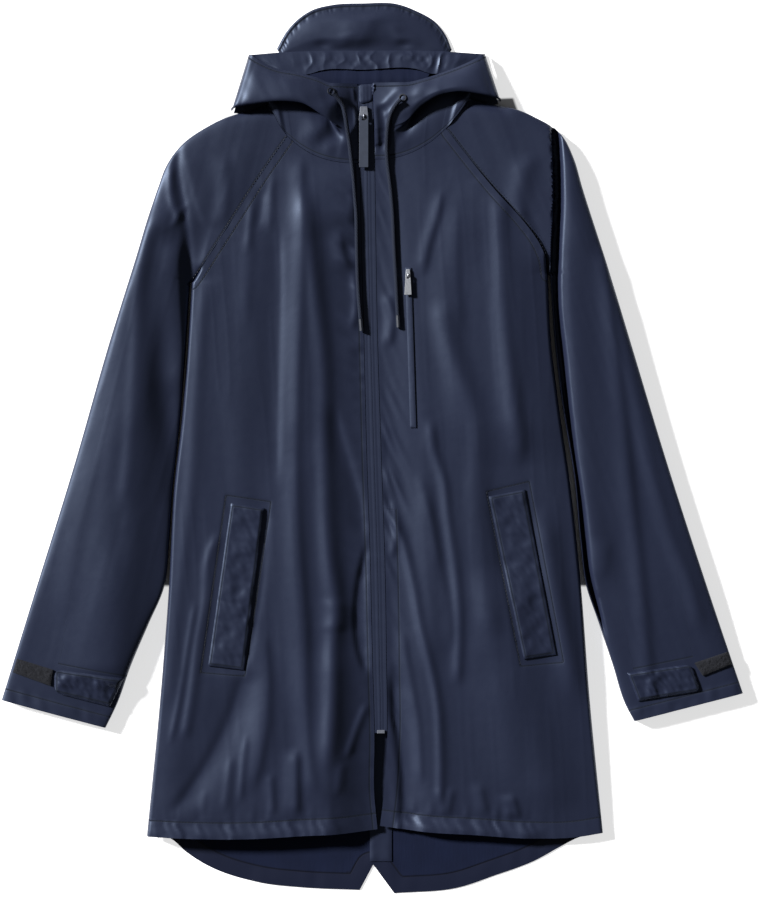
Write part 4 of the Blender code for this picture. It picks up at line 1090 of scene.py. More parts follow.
class Recipe:
    """The nodes of one finish."""

    def __init__(self, name: str) -> None:
        """A new material with a Principled shader."""
        self.material = bpy.data.materials.new(name)
        self.material.use_nodes = True
        self.tree = self.material.node_tree
        self.shader = self.tree.nodes["Principled BSDF"]

    def node(self, kind: str, settings: dict[str, Any] | None = None,
             inputs: dict[Any, Any] | None = None, output: Any = None) -> Any:
        """One new node.

        Args:
            kind: the node's type.
            settings: its properties, set before its sockets.
            inputs: values or wires by socket name or number.
            output: name or number of the output that is wanted.

        Returns:
            The output as a wire, or the node where no output is named.
        """
        made = self.tree.nodes.new(kind)
        for key, value in (settings or {}).items():
            setattr(made, key, value)
        for key, value in (inputs or {}).items():
            self.feed(made.inputs[key], value)
        return made if output is None else Wire(self, made.outputs[output])

    def feed(self, socket: bpy.types.NodeSocket, value: Any) -> None:
        """Sets a socket's value, or links a wire to it."""
        if isinstance(value, Wire):
            self.tree.links.new(value.socket, socket)
        else:
            socket.default_value = value

    def split(self, vector: Wire) -> tuple[Wire, Wire]:
        """The first two parts of a vector."""
        made = self.node("ShaderNodeSeparateXYZ", None, {"Vector": vector})
        return Wire(self, made.outputs[0]), Wire(self, made.outputs[1])

    def place(self) -> Wire:
        """Object coordinates."""
        return self.node("ShaderNodeTexCoord", output="Object")

    def stretched(self, scale: tuple[float, float, float]) -> Wire:
        """Object coordinates scaled by axis."""
        return self.node("ShaderNodeMapping", None, {"Vector": self.place(), "Scale": scale}, "Vector")

    def noise(self, scale: float, detail: float = 2.0, rough: float = 0.5, bend: float = 0.0,
              where: Wire | None = None) -> Wire:
        """Cloudy noise, mostly 0.3 to 0.7, with scale steps to a metre."""
        inputs = {"Vector": where or self.place(), "Scale": scale, "Detail": detail, "Roughness": rough,
                  "Distortion": bend}
        return self.node("ShaderNodeTexNoise", None, inputs, "Fac")

    def attribute(self, name: str) -> Wire:
        """A number that a piece's points hold."""
        return self.node("ShaderNodeAttribute", {"attribute_name": name}, None, "Fac")

    def mixed(self, share: Wire, low: Any, high: Any, blend: str = "MIX") -> Wire:
        """A blend of two colours, each a wire or red, green and blue."""
        inputs = {"Factor": share, 6: opaque(low), 7: opaque(high)}
        return self.node("ShaderNodeMix", {"data_type": "RGBA", "blend_type": blend}, inputs, 2)

    def dress(self, colour: Any, roughness: Any, relief: Wire | None = None,
              **plain: Any) -> Material:
        """Feeds the shader.

        Args:
            colour: a wire, or red, green and blue.
            roughness: a wire or a number.
            relief: height in mm for the bump, or nothing.
            plain: the shader's other sockets, with _ for a space.

        Returns:
            The material.
        """
        self.feed(self.shader.inputs["Base Color"], opaque(colour))
        self.feed(self.shader.inputs["Roughness"], roughness)
        for key, value in plain.items():
            self.feed(self.shader.inputs[key.replace("_", " ")], value)
        if relief is not None:
            inputs = {"Strength": 1.0, "Distance": MM, "Height": relief}
            self.feed(self.shader.inputs["Normal"], self.node("ShaderNodeBump", None, inputs, "Normal"))
        return self.material


BLUE_SHINE = (0.60, 0.74, 1.0, 1.0)


@dataclass(frozen=True)
class CoatedCloth:
    """Coated rainwear cloth: a soft shine, a fine grain, slight crumples, and sewn lines, darkened with
    painted shade in their grooves.
    """

    name: str = "coated_cloth"
    colour: Colour = (0.0141, 0.0176, 0.0388)
    deep: Colour = (0.0115, 0.0146, 0.0330)
    # groove: painted shade, multiplied into the colour along the stitch lines
    groove: Colour = (0.10, 0.10, 0.12)
    roughness: float = 0.475
    crumple: float = 0.08
    line_width: float = 1.5
    line_depth: float = 0.14

    def sewn(self, recipe: Recipe) -> Wire:
        """Grooves at the stitch lines, which sink and carry painted shade: the sum of (1 − distance /
        width), held from 0 to 1.
        """
        total: Any = 0.0
        for number in range(1, STITCH_LINES + 1):
            away = abs(recipe.attribute(f"line_{number}"))
            total = (1.0 - away / self.line_width).held() + total
        return total.held()

    def make(self) -> Material:
        """The material."""
        recipe = Recipe(self.name)
        cloud = recipe.noise(7.0, 3.0)
        crumple = recipe.noise(85.0, 2.0, 0.45, 0.6)
        dents = recipe.noise(26.0, 2.0, 0.5, 0.3)
        grain = recipe.noise(1500.0, 1.0)
        sewn = self.sewn(recipe)
        # Random clouds of tone; along the stitch lines, painted shade: the deep colour, then the groove
        # colour multiplied in.
        shade = (cloud * 1.6 - 0.3 + sewn * 0.9).held()
        colour = recipe.mixed(shade, self.colour, self.deep)
        dark = recipe.mixed(sewn * 0.9, colour, self.groove, "MULTIPLY")
        roughness = self.roughness + (cloud - 0.5) * 0.10 + (crumple - 0.5) * 0.08
        roughness = roughness + (grain - 0.5) * 0.12 + sewn * 0.5
        relief = crumple * self.crumple + dents * (self.crumple * 3.2) + grain * 0.018
        return recipe.dress(dark, roughness, relief - sewn * self.line_depth, Specular_Tint=BLUE_SHINE)


@dataclass(frozen=True)
class WrongSide:
    """The cloth's wrong side: matte with a knit's fine ribs, the right side turned up at the hem, and
    painted shade along the hem's stitches.
    """

    name: str = "cloth_wrong_side"
    colour: Colour = (0.0045, 0.0088, 0.032)
    deep: Colour = (0.003, 0.006, 0.022)
    turned: Colour = (0.0090, 0.0120, 0.029)
    # groove: painted shade along the hem's stitch line
    groove: Colour = (0.001, 0.001, 0.002)
    roughness: float = 0.8

    def make(self) -> Material:
        """The material."""
        recipe = Recipe(self.name)
        cloud = recipe.noise(30.0, 3.0)
        ribs = recipe.noise(420.0, 1.0, where=recipe.stretched((1.0, 0.12, 1.0)))
        plain = recipe.mixed((cloud * 1.2 - 0.3 + ribs * 0.4).held(), self.colour, self.deep)
        past_hem = recipe.attribute("line_1")
        inside = (past_hem * 1.5 + 0.5).held()
        # The hem's stitch line: a groove, darkened with painted shade.
        sewn = (1.0 - abs(past_hem) / 1.6).held()
        colour = recipe.mixed(sewn * 0.75, recipe.mixed(inside, self.turned, plain), self.groove)
        relief = (ribs * 0.12 + cloud * 0.25) * inside - sewn * 0.15
        return recipe.dress(colour, 0.5 + (self.roughness - 0.5) * inside, relief, Specular_IOR_Level=0.18)


@dataclass(frozen=True)
class ZipTapeFinish:
    """Coated zip tape: smoother and more matte than the cloth."""

    name: str = "zip_tape"
    colour: Colour = (0.0155, 0.0195, 0.041)
    deep: Colour = (0.0130, 0.0165, 0.036)
    roughness: float = 0.52

    def make(self) -> Material:
        """The material."""
        recipe = Recipe(self.name)
        cloud = recipe.noise(40.0, 3.0)
        grain = recipe.noise(1800.0, 1.0)
        teeth = recipe.noise(520.0, 0.0, where=recipe.stretched((0.05, 1.0, 0.05)))
        colour = recipe.mixed((cloud * 1.4 - 0.2).held(), self.colour, self.deep)
        return recipe.dress(colour, self.roughness + (grain - 0.5) * 0.1, grain * 0.02 + teeth * 0.03,
                            Specular_Tint=BLUE_SHINE)


@dataclass(frozen=True)
class HookAndLoop:
    """Hook-and-loop tape: black and fuzzy."""

    name: str = "hook_and_loop"
    colour: Colour = (0.0045, 0.0052, 0.009)
    deep: Colour = (0.014, 0.016, 0.024)
    roughness: float = 0.95

    def make(self) -> Material:
        """The material."""
        recipe = Recipe(self.name)
        fuzz = recipe.noise(900.0, 3.0, 0.8, 1.5)
        clumps = recipe.noise(260.0, 2.0)
        colour = recipe.mixed((fuzz * 2.0 - 0.7).held(), self.colour, self.deep)
        return recipe.dress(colour, self.roughness, fuzz * 0.6 + clumps * 0.5)


@dataclass(frozen=True)
class Braid:
    """Braided drawcord: two sets of strands that wind round it, from the piece's own UV map."""

    name: str = "drawcord"
    colour: Colour = (0.0095, 0.0155, 0.035)
    deep: Colour = (0.0035, 0.0060, 0.0155)
    roughness: float = 0.75
    strands: float = 8.0
    lay: float = 240.0

    def make(self) -> Material:
        """The material: sin(2π(strands·u + lay·v)) and its mirror, the higher one on top."""
        recipe = Recipe(self.name)
        u, v = recipe.split(recipe.node("ShaderNodeUVMap", {"uv_map": "round"}, None, "UV"))
        first = (u * (math.tau * self.strands) + v * (math.tau * self.lay)).wave()
        second = (u * (math.tau * self.strands) - v * (math.tau * self.lay)).wave()
        weave = first.larger(second)
        fray = recipe.noise(1600.0, 2.0)
        # Deeper colour between the strands, where the weave sinks: painted shade; the fray adds random
        # tone.
        colour = recipe.mixed((0.55 - weave * 0.45 + (fray - 0.5) * 0.5).held(), self.colour, self.deep)
        return recipe.dress(colour, self.roughness, weave * 0.22 + fray * 0.1, Specular_IOR_Level=0.3)


@dataclass(frozen=True)
class Hardware:
    """A hard finish: clouds between two colours, and a fine grain in its shine and relief."""

    name: str
    colour: Colour
    deep: Colour
    roughness: float
    metallic: float = 0.45
    clouds: tuple[float, float] = (420.0, 3.0)
    contrast: float = 1.6
    grain: tuple[float, ...] = (2600.0, 2.0, 0.6, 1.0)
    grain_shine: float = 0.25
    grain_relief: float = 0.02

    def make(self) -> Material:
        """The material: the clouds' share of the deep colour is spread about a half by the contrast."""
        recipe = Recipe(self.name)
        cloud, grain = recipe.noise(*self.clouds), recipe.noise(*self.grain)
        share = (cloud * self.contrast - (self.contrast - 1.0) / 2.0).held()
        roughness = self.roughness + (grain - 0.5) * self.grain_shine
        colour = recipe.mixed(share, self.colour, self.deep)
        return recipe.dress(colour, roughness, grain * self.grain_relief, Metallic=self.metallic)


def rubber(name: str, colour: Colour, deep: Colour) -> Hardware:
    """Matte rubber in a colour."""
    return Hardware(name, colour, deep, 0.5, 0.0, (160.0, 3.0), 1.5, (2400.0, 2.0), 0.2, 0.03)


DARK_METAL = Hardware("dark_metal", (0.26, 0.28, 0.33), (0.15, 0.16, 0.20), 0.42)
BRIGHT_METAL = Hardware("bright_metal", (0.58, 0.60, 0.65), (0.34, 0.36, 0.40), 0.30)
BLACK_METAL = Hardware("black_metal", (0.020, 0.023, 0.032), (0.010, 0.012, 0.018), 0.42)
TIP_RUBBER = rubber("tip_rubber", (0.015, 0.020, 0.034), (0.011, 0.015, 0.026))
PULL_RUBBER = rubber("pull_rubber", (0.040, 0.050, 0.078), (0.030, 0.038, 0.060))
HARD_PARTS = {
    DARK_METAL: ("zip_slider", "zip_stop"),
    BRIGHT_METAL: ("chest_zip_slider", "chest_zip_pull"),
    BLACK_METAL: ("eyelet_left", "eyelet_right"),
    TIP_RUBBER: ("cord_tip_left", "cord_tip_right"),
    PULL_RUBBER: ("zip_pull",),
}


@dataclass(frozen=True)
class Thread:
    """Sewing thread: a shade lighter than the cloth, twisted."""

    name: str = "thread"
    colour: Colour = (0.0105, 0.0135, 0.027)
    deep: Colour = (0.005, 0.0065, 0.014)
    roughness: float = 0.6

    def make(self) -> Material:
        """The material."""
        recipe = Recipe(self.name)
        twist = recipe.noise(2200.0, 1.0)
        return recipe.dress(recipe.mixed(twist, self.colour, self.deep), self.roughness, twist * 0.05)


# ---------------------------------------------------------------- body


@dataclass
class Front:
    """A front panel, its folds, and the seams sewn into it (seam_band: raglan seam to stitches)."""

    side: Side
    side_rows: int = 200
    raglan_rows: int = 78
    columns: int = 112
    seam_band: float = 8.5
    streak: float = 0.55
    lines: tuple[np.ndarray, ...] = ()

    def shares(self) -> np.ndarray:
        """Shares across, closer towards the side seam."""
        return even(self.columns) ** 1.18

    def plan(self) -> tuple[np.ndarray, np.ndarray, np.ndarray, np.ndarray]:
        """Plan grid, outer edge, zip edge and hem: a Coons patch between the front's seam lines."""
        across = self.shares()
        raglan = shifted(raglan_seam(self.side, self.raglan_rows)[0], SEAM / 2, CHEST)
        side_seam = smooth_curve(side_points(SIDE_SEAM, self.side), even(self.side_rows))
        side_seam[-1] = raglan[0]
        outer = join(side_seam, raglan)
        neck = shifted(smooth_curve(side_points(FRONT_NECK, self.side), across), SEAM / 2, CHEST)
        hem = smooth_curve(side_points(FRONT_HEM, self.side), across)
        edge_y = join(np.linspace(hem[-1, 1], ARMPIT, self.side_rows + 1),
                      np.linspace(ARMPIT, neck[-1, 1], self.raglan_rows + 1))
        inner = zip_edge(self.side, edge_y)
        for line, start, end in ((hem, outer[0], inner[0]), (neck, outer[-1], inner[-1])):
            line[0], line[-1] = start, end
        along = (edge_y - edge_y[0]) / (edge_y[-1] - edge_y[0])
        return coons(hem, neck, outer, inner, across, along), outer, inner, hem

    def puckers(self, x: np.ndarray, y: np.ndarray, to_zip: np.ndarray, to_hem: np.ndarray,
                to_raglan: np.ndarray) -> np.ndarray:
        """Short puckers that the stitching draws into the cloth, dying away from each seam.

        Args:
            x: plan places in mm.
            y: plan places in mm.
            to_zip: distance from the zip edge.
            to_hem: distance from the hem.
            to_raglan: distance from the raglan seam.

        Returns:
            Heights in mm.
        """
        draw, seed = DRAW[self.side], SEEDS[self.side].puckers
        strength = 0.45 + draw.most * bell(y - draw.middle, draw.width)
        slant = (y + draw.lean * x) / draw.pitch
        zip_waves = Ripple(seed).at(slant + 70, to_zip / 22.0) * bell(to_zip - 9.0, 15.0)
        zip_waves = zip_waves * smoothstep(0.0, 7.0, to_zip) * strength
        drawn = 0.12 + 0.88 * smoothstep(*draw.hem_far, to_zip) * smoothstep(*draw.hem_near, to_zip)
        stripes = Ripple(seed + 1).at((x + 0.62 * y) / 4.9 + 70, y / 60.0 + 40)
        inside = smoothstep(0.5, 4.0, to_hem) * smoothstep(HEM_BAND, HEM_BAND - 3.0, to_hem)
        edge = draw.tilt * smoothstep(HEM_BAND - 0.5, 3.0, to_hem)
        flames = Ripple(seed + 3).at(x / 7.0 + 70, y / 70.0 + 40) * bell(to_hem - HEM_BAND - 5.0, 12.0)
        hem_waves = drawn * (draw.crush * stripes * inside + edge)
        hem_waves = hem_waves + 0.55 * drawn * flames * smoothstep(HEM_BAND - 2, HEM_BAND + 3, to_hem)
        raglan_waves = Ripple(seed + 2).at((y - 0.4 * self.side.sign * x) / 9.0 + 70, to_raglan / 30.0)
        return zip_waves + hem_waves + 0.25 * raglan_waves * bell(to_raglan - 9.0, 9.0)

    @cached_property
    def grid(self) -> np.ndarray:
        """Upper face: rises round from the side seam to the level, plus folds, and settles at the zip."""
        plan, outer, inner, hem = self.plan()
        x, y = plan[..., 0], plan[..., 1]
        seam_height, seam_folds = raglan_seam(self.side, self.raglan_rows)[1:]
        from_side = np.abs(x - outer[:, :1])
        rise = 0.80 * round_rise(from_side, 5.0, 4.0) + 0.20 * round_rise(from_side, SIDE_ROLL, 1.8)
        base = join(np.full(self.side_rows + 1, SIDE_HEIGHT + CLOTH), seam_height)[:, None]
        reach = join(np.zeros(self.side_rows + 1), seam_folds)[:, None]
        share = reach + (1 - reach) * rise
        to_raglan = distance_to(outer[self.side_rows::4], x, y)
        to_hem = distance_to(hem[::4], x, y)
        to_zip = np.abs(x - inner[:, :1])
        creases = 1.15 * crease_height(FRONT_CREASES[self.side], x, y) * smoothstep(0.0, 9.0, to_zip)
        folds = fold_height(x, y) + self.streak * streaks(x, y, SEEDS[self.side].streaks)
        z = base + (level(self.side.value, y) - base) * rise + folds * share
        settled = smoothstep(ZIP_ROLL, 0.0, to_zip)
        z = z + (level("zip", y) - z) * settled
        z += (creases + self.puckers(x, y, to_zip, to_hem, to_raglan)) * share
        z += 0.12 * smoothstep(self.seam_band + 1.2, self.seam_band - 1.2, to_raglan)
        z -= 0.35 * bell(to_hem - HEM_BAND, 1.3)
        frame = outline_distance(place(POCKET_FRAME[self.side]), x, y)
        z -= 0.5 * smoothstep(1.6, -1.2, frame)
        z += crease_height((POCKET_GAP[self.side],), x, y)
        draw = DRAW[self.side]
        placket = np.where(y < draw.placket_top, to_zip - draw.placket, NO_LINE)
        self.lines = (to_raglan - self.seam_band, to_hem - HEM_BAND, placket, frame)
        return np.dstack([plan, z])

    def stitch_lines(self) -> list[np.ndarray]:
        """Plan lines of the panel's stitches: beside the raglan, above the hem and round the pocket."""
        raglan = shifted(raglan_seam(self.side, 60)[0], self.seam_band, CHEST)
        hem = shifted(smooth_curve(side_points(FRONT_HEM, self.side), even(60)), HEM_BAND, CHEST)
        corners = place(POCKET_FRAME[self.side])
        return [raglan, hem, np.vstack([corners, corners[:1]])]

    def build(self, cloth: Material) -> None:
        """The panel as a wall of cloth whose seam edges stand upright."""
        grid = self.grid
        upright = np.zeros(grid.shape[:2], int)
        upright[self.side_rows + 1:, 0] = upright[-1, :] = upright[:, -1] = -1
        name = f"front_{self.side.value}"
        Wall(f"{name}_panel", grid, upright=upright, lines=self.lines).sew(cloth, name)


@dataclass
class Back:
    """The back panel: it lies on its outer face, with a notch in its dipped hem and a vent facing."""

    side_rows: int = 150
    raglan_rows: int = 40
    hem_columns: int = 56
    to_hem: np.ndarray | None = field(default=None, repr=False)

    @cached_property
    def grid(self) -> np.ndarray:
        """Outer face: flat, curling up round to the side seams."""
        shares = even(self.hem_columns) ** 1.2
        right, left = (smooth_curve(side_points(BACK_HEM, side), shares) for side in (RIGHT, LEFT))
        tip = np.array(NOTCH_TIP)
        rising = right[-1] + even(7)[1:, None] * (tip - right[-1])
        falling = tip + even(11)[1:-1, None] * (left[-1] - tip)
        hem = np.vstack([right, rising, falling, left[::-1]])
        across = (hem[:, 0] - hem[0, 0]) / (hem[-1, 0] - hem[0, 0])
        neck = smooth_curve(BACK_NECK, across)
        edges = []
        for side in (RIGHT, LEFT):
            raglan = smooth_curve(side_points(BACK_RAGLAN, side), even(self.raglan_rows))
            raglan = shifted(raglan, SEAM / 2, CHEST)
            seam = smooth_curve(side_points(SIDE_SEAM, side), even(self.side_rows))
            seam[-1] = raglan[0]
            edges.append(join(seam, raglan))
        neck[0], neck[-1] = edges[0][-1], edges[1][-1]
        along = (edges[0][:, 1] - edges[0][0, 1]) / (edges[0][-1, 1] - edges[0][0, 1])
        plan = coons(hem, neck, edges[0], edges[1], across, along)
        x, y = plan[..., 0], plan[..., 1]
        from_edge = np.minimum(x - x[:, :1], x[:, -1:] - x)
        curl = join(np.ones(self.side_rows + 1), 1.0 - smoothstep(0.0, 0.3, even(self.raglan_rows)))
        z = (SIDE_HEIGHT - SEAM - CLOTH) * curl[:, None] * (1.0 - round_rise(from_edge, BACK_ROLL))
        to_hem = distance_to(hem[::2], x, y)
        waves = Ripple(71).at(x / 11.0 + 60, y / 40.0 + 40)
        lift = 0.5 + 0.5 * waves + 0.35 * Ripple(72).at(x / 30.0 + 60, y / 60.0 + 60)
        inside = smoothstep(0.0, 14.0, from_edge)
        z += 0.8 * lift * bell(to_hem - 10.0, 12.0) * inside
        broad = 0.45 * (1 + Ripple(73).at(x / 45.0 + 60, y / 160.0 + 60))
        z += broad * inside * smoothstep(20.0, 60.0, to_hem)
        self.to_hem = to_hem
        return np.dstack([plan, z])

    def build(self, cloth: Material, wrong_side: Material) -> None:
        """The panel, whose inner face shows the cloth's wrong side, and the facing over the notch."""
        grid = self.grid
        upright = np.zeros(grid.shape[:2], int)
        upright[self.side_rows + 1:, 0] = upright[self.side_rows + 1:, -1] = upright[-1, :] = 1
        wall = Wall("back_panel", grid, upright=upright, upwards=False, lines=(self.to_hem - HEM_BAND,))
        piece = wall.build(cloth)
        mesh = piece.data
        mesh.materials.append(wrong_side)
        normal = np.empty(len(mesh.polygons) * 3)
        mesh.polygons.foreach_get("normal", normal)
        quads = len(grid_faces(*grid.shape[:2]))
        marks = np.zeros(len(mesh.polygons), np.int32)
        marks[quads:2 * quads] = normal.reshape(-1, 3)[quads:2 * quads, 2] > 0.2
        mesh.polygons.foreach_set("material_index", marks)
        store = mesh.attributes["line_1"]
        values = np.empty(len(mesh.vertices), np.float32)
        store.data.foreach_get("value", values)
        store.data.foreach_set("value", np.tile(values[:len(values) // 2], 2))
        wall.declare(piece, ["back"])
        vent = Patch("vent_strip", VENT, 60, 10, CLOTH, SEAM, crumple=0.25, edge=0.4, seed=91)
        vent.lay([grid + (0.0, 0.0, CLOTH)], cloth, "vent_facing")


# ---------------------------------------------------------------- patches


@dataclass
class Patch:
    """A patch of cloth laid on other pieces, with rounded edges and a soft crumple.

    crumple: height of its dents, which are step wide.  edge: how far its edges sink over the width ease.
    round_corners: radii in the quad's order.  frame_lines: distances from the edge to rows of stitches.
    """

    name: str
    quad: Quad
    rows: int
    columns: int
    thickness: float
    gap: float
    crumple: float
    edge: float
    seed: int
    round_corners: tuple[float, float, float, float] = (0.0, 0.0, 0.0, 0.0)
    ease: float = 2.5
    step: float = 9.0
    frame_lines: tuple[float, ...] = ()
    from_edge: np.ndarray | None = field(default=None, repr=False)

    def plan(self) -> np.ndarray:
        """Bilinear plan grid whose corners are drawn in to quarter rounds of the radii in mm."""
        v, u = np.meshgrid(even(self.rows), even(self.columns), indexing="ij")
        corners = [np.array(corner, float) for corner in self.quad]
        wide = np.linalg.norm(corners[1] - corners[0])
        long = np.linalg.norm(corners[3] - corners[0])
        for radius, (cu, cv) in zip(self.round_corners, ((0, 0), (1, 0), (1, 1), (0, 1))):
            if radius:
                from_side = np.abs(u - cu) * wide / radius
                height = np.sqrt(np.clip(1.0 - (1.0 - np.clip(from_side, 0, 1)) ** 2, 0, 1))
                pull = (1.0 - height) * radius / long
                near = np.clip(1.0 - np.abs(v - cv) * 2.0, 0, 1)
                v = v + (0.5 - cv) * 2.0 * pull * near
        weights = ((1 - u) * (1 - v), u * (1 - v), u * v, (1 - u) * v)
        self.from_edge = np.minimum(np.minimum(u, 1 - u) * wide, np.minimum(v, 1 - v) * long)
        return sum(w[..., None] * c for w, c in zip(weights, corners))

    def lay(self, grids: Sequence[np.ndarray], finish: Material, node: str,
            slot: str = "coated_cloth") -> None:
        """The patch a gap above what it lies on.

        Args:
            grids: upper faces that it lies on.
            finish: its material.
            node: CAD node that it stands for.
            slot: the record's material slot; not used.
        """
        plan = self.plan()
        low = lie_on(grids, plan.reshape(-1, 2))[0].reshape(plan.shape[:2])
        x, y = plan[..., 0], plan[..., 1]
        dents = Ripple(self.seed).at(x / self.step + 50, y / self.step + 50)
        small = Ripple(self.seed + 1).at((x + y) / (0.45 * self.step) + 50, (y - x) / self.step + 50)
        inside = smoothstep(0.0, 4.0, self.from_edge)
        z = low + self.gap + self.thickness
        z += self.crumple * (0.8 + 0.7 * dents + 0.45 * small) * inside
        z -= self.edge * (1.0 - round_rise(self.from_edge, self.ease, 2.0))
        lines = tuple(self.from_edge - inset for inset in self.frame_lines)
        wall = Wall(self.name, np.dstack([plan, z]), self.thickness, np.full(z.shape, -1), lines=lines)
        wall.sew(finish, node, slot=slot)


# ---------------------------------------------------------------- sleeves


@dataclass
class Sleeve:
    """A raglan sleeve laid flat, with the cuff's tab and hook-and-loop strip."""

    side: Side
    side_rows: int = 210
    raglan_rows: int = 76
    columns: int = 58
    upper: np.ndarray | None = field(default=None, repr=False)
    lines: tuple[np.ndarray, ...] = ()

    @cached_property
    def grid(self) -> np.ndarray:
        """Outer face: rows from cuff to neck, columns round it from the front over the fold.

        Returns:
            Rows × (2 × columns + 1) × 3 points.  Up to the armpit the first and last columns are one line.
        """
        side, columns = self.side, self.columns
        fold_table = side_points(SLEEVE_FOLD, side)
        away = fold_table[ARMPIT_STATION]
        armpit = chord_shares(fold_table)[ARMPIT_STATION]
        below, above = even(self.side_rows), even(self.raglan_rows)
        fold = smooth_curve(fold_table, join(below * armpit, armpit + (1 - armpit) * above))
        underarm = smooth_curve(side_points(UNDERARM, side), below)
        raglan, seam_height, seam_folds = raglan_seam(side, self.raglan_rows)
        back_raglan = smooth_curve(side_points(BACK_RAGLAN, side), above)
        across = crowded_ends(columns)
        cuff = underarm[0] + across[:, None] * (fold[0] - underarm[0])
        rows = self.side_rows + self.raglan_rows + 1
        along = join(below * 2 / 3, 2 / 3 + above / 3)
        shoulder = 7.0 * (np.arange(rows) - self.side_rows) / self.raglan_rows
        share = smoothstep(0.0, 1.2 + 4.0 * smoothstep(0.0, 0.4, across)[None, :], shoulder[:, None])
        puff = CUFF_RISE + (ARM_RISE - CUFF_RISE) * smoothstep(0.0, 0.2, along)[:, None]
        puff = puff * (ARM_SLOPE[side] + (1 - ARM_SLOPE[side]) * smoothstep(0.0, 0.5, across)[None, :])
        layers = []
        for seam, neck in ((raglan, smooth_curve(side_points(SHOULDER_NECK, side), across)),
                           (back_raglan, back_raglan[-1] + across[:, None] * (fold[-1] - back_raglan[-1]))):
            line = shifted(seam, SEAM / 2, away)
            line[0] = underarm[-1]
            neck = shifted(neck, SEAM / 2, away)
            neck[0], neck[-1] = line[-1], fold[-1]
            layers.append(coons(cuff, neck, join(underarm, line), fold, across, along))
        s = across[None, :]
        hump = (1.0 - np.abs(2 * s - 1) ** 8.0) ** 0.125
        over = fold_over(s)
        seam_z = join(np.full(self.side_rows + 1, ARM_MIDDLE), seam_height)[:, None]
        reach = join(np.zeros(self.side_rows + 1), seam_folds)[:, None]
        x, y = layers[0][..., 0], layers[0][..., 1]
        upper = (1 - share) * (ARM_MIDDLE + puff * hump)
        upper = upper + share * (ARM_MIDDLE + (seam_z - ARM_MIDDLE) * over)
        spread = np.maximum(reach * over * smoothstep(0.25, 0.0, s), (1 - share) * hump + share * over)
        lower = ARM_MIDDLE * ((1 - share) * (1 - hump) + share * (1 - over))
        lower[:, 0] = ARM_MIDDLE * (1.0 - smoothstep(0.0, 2.0, shoulder))
        folds = fold_height(x, y) + crease_height(SLEEVE_CREASES[side], x, y)
        to_cuff = distance_to(cuff[::8], x, y)
        calm = smoothstep(0.0, 60.0, to_cuff)
        folds = folds + 0.5 * calm * streaks(x + 0.30 * y * side.sign, y, SEEDS[side].sleeve_streaks)
        ripple = Ripple(SEEDS[side].cuff).at((x + 0.2 * y) / 9.0 + 60, y / 22.0 + 40)
        folds = folds + 0.8 * ripple * bell(to_cuff - 8.0, 9.0) + 0.5 * smoothstep(16.0, 13.0, to_cuff)
        upper += folds * spread
        if side is LEFT:
            bottom = np.maximum(GAP_LEVEL, lower + 2 * CLOTH + 0.4)
            sunk = self.sunk(x, y, underarm[-1, 1]) * smoothstep(0.0, 0.03, s)
            upper += (np.minimum(upper, bottom) - upper) * sunk
        upper -= 6.0 * bell(distance_to(place(HOOD_SHADE[side]), x, y), 10.0) * smoothstep(0.0, 12.0, upper)
        upper[:, 0] = (seam_z + reach * (folds[:, :1]))[:, 0]
        self.upper = np.dstack([layers[0], upper])
        below_face = np.dstack([layers[1], lower])
        raglan_away = distance_to(join(underarm[-2:], layers[0][self.side_rows:, 0])[::4], x, y)
        start, end = place(CUFF_SEAM[side])
        run = (end - start) / np.linalg.norm(end - start)
        beside = (x - start[0]) * run[1] - (y - start[1]) * run[0]
        down = (x - start[0]) * run[0] + (y - start[1]) * run[1]
        beside = np.where((down > -1) & (down < np.linalg.norm(end - start) + 1), beside, NO_LINE)
        none, cuff_line = np.full(x.shape, NO_LINE), to_cuff - CUFF_BAND
        pairs = ((raglan_away - SLEEVE_STITCH, none), (cuff_line, cuff_line), (beside, none))
        self.lines = tuple(np.concatenate([line, back[:, -2::-1]], axis=1) for line, back in pairs)
        return np.concatenate([self.upper, below_face[:, -2::-1]], axis=1)

    def sunk(self, x: np.ndarray, y: np.ndarray, armpit: float) -> np.ndarray:
        """How far the arm sinks beside the body: a strip with a steep outer wall, (1 − t)² at t across it.

        Args:
            x: plan places in mm.
            y: plan places in mm.
            armpit: y below which the strip reaches the sleeve's inner edge.

        Returns:
            Shares from 0, not sunk, to 1, down at the bottom.
        """
        edge = smooth_curve(place(GAP_EDGE), even(160))[::-1]
        past = x - np.interp(y, edge[:, 1], edge[:, 0])
        outer = np.clip(1.0 - past / GAP_WALL, 0.0, 1.0) ** 2
        inner = smoothstep(-GAP_WIDTH - 2.5, -GAP_WIDTH, past)
        inner = np.maximum(inner, smoothstep(armpit + 6.0, armpit - 8.0, y))
        foot = smoothstep(edge[0, 1] - 6.0, edge[0, 1] + 40.0, y)
        return outer * inner * foot * smoothstep(0, 10, edge[-1, 1] - y)

    def stitch_lines(self) -> list[np.ndarray]:
        """Plan lines of the stitches on the sleeve: beside the raglan and above the cuff."""
        away = side_points(SLEEVE_FOLD, self.side)[ARMPIT_STATION]
        cuff = np.linspace(self.grid[0, 2, :2], self.grid[0, self.columns - 2, :2], 30)
        return [shifted(raglan_seam(self.side, 60)[0], SLEEVE_STITCH, away), shifted(cuff, CUFF_BAND, away)]

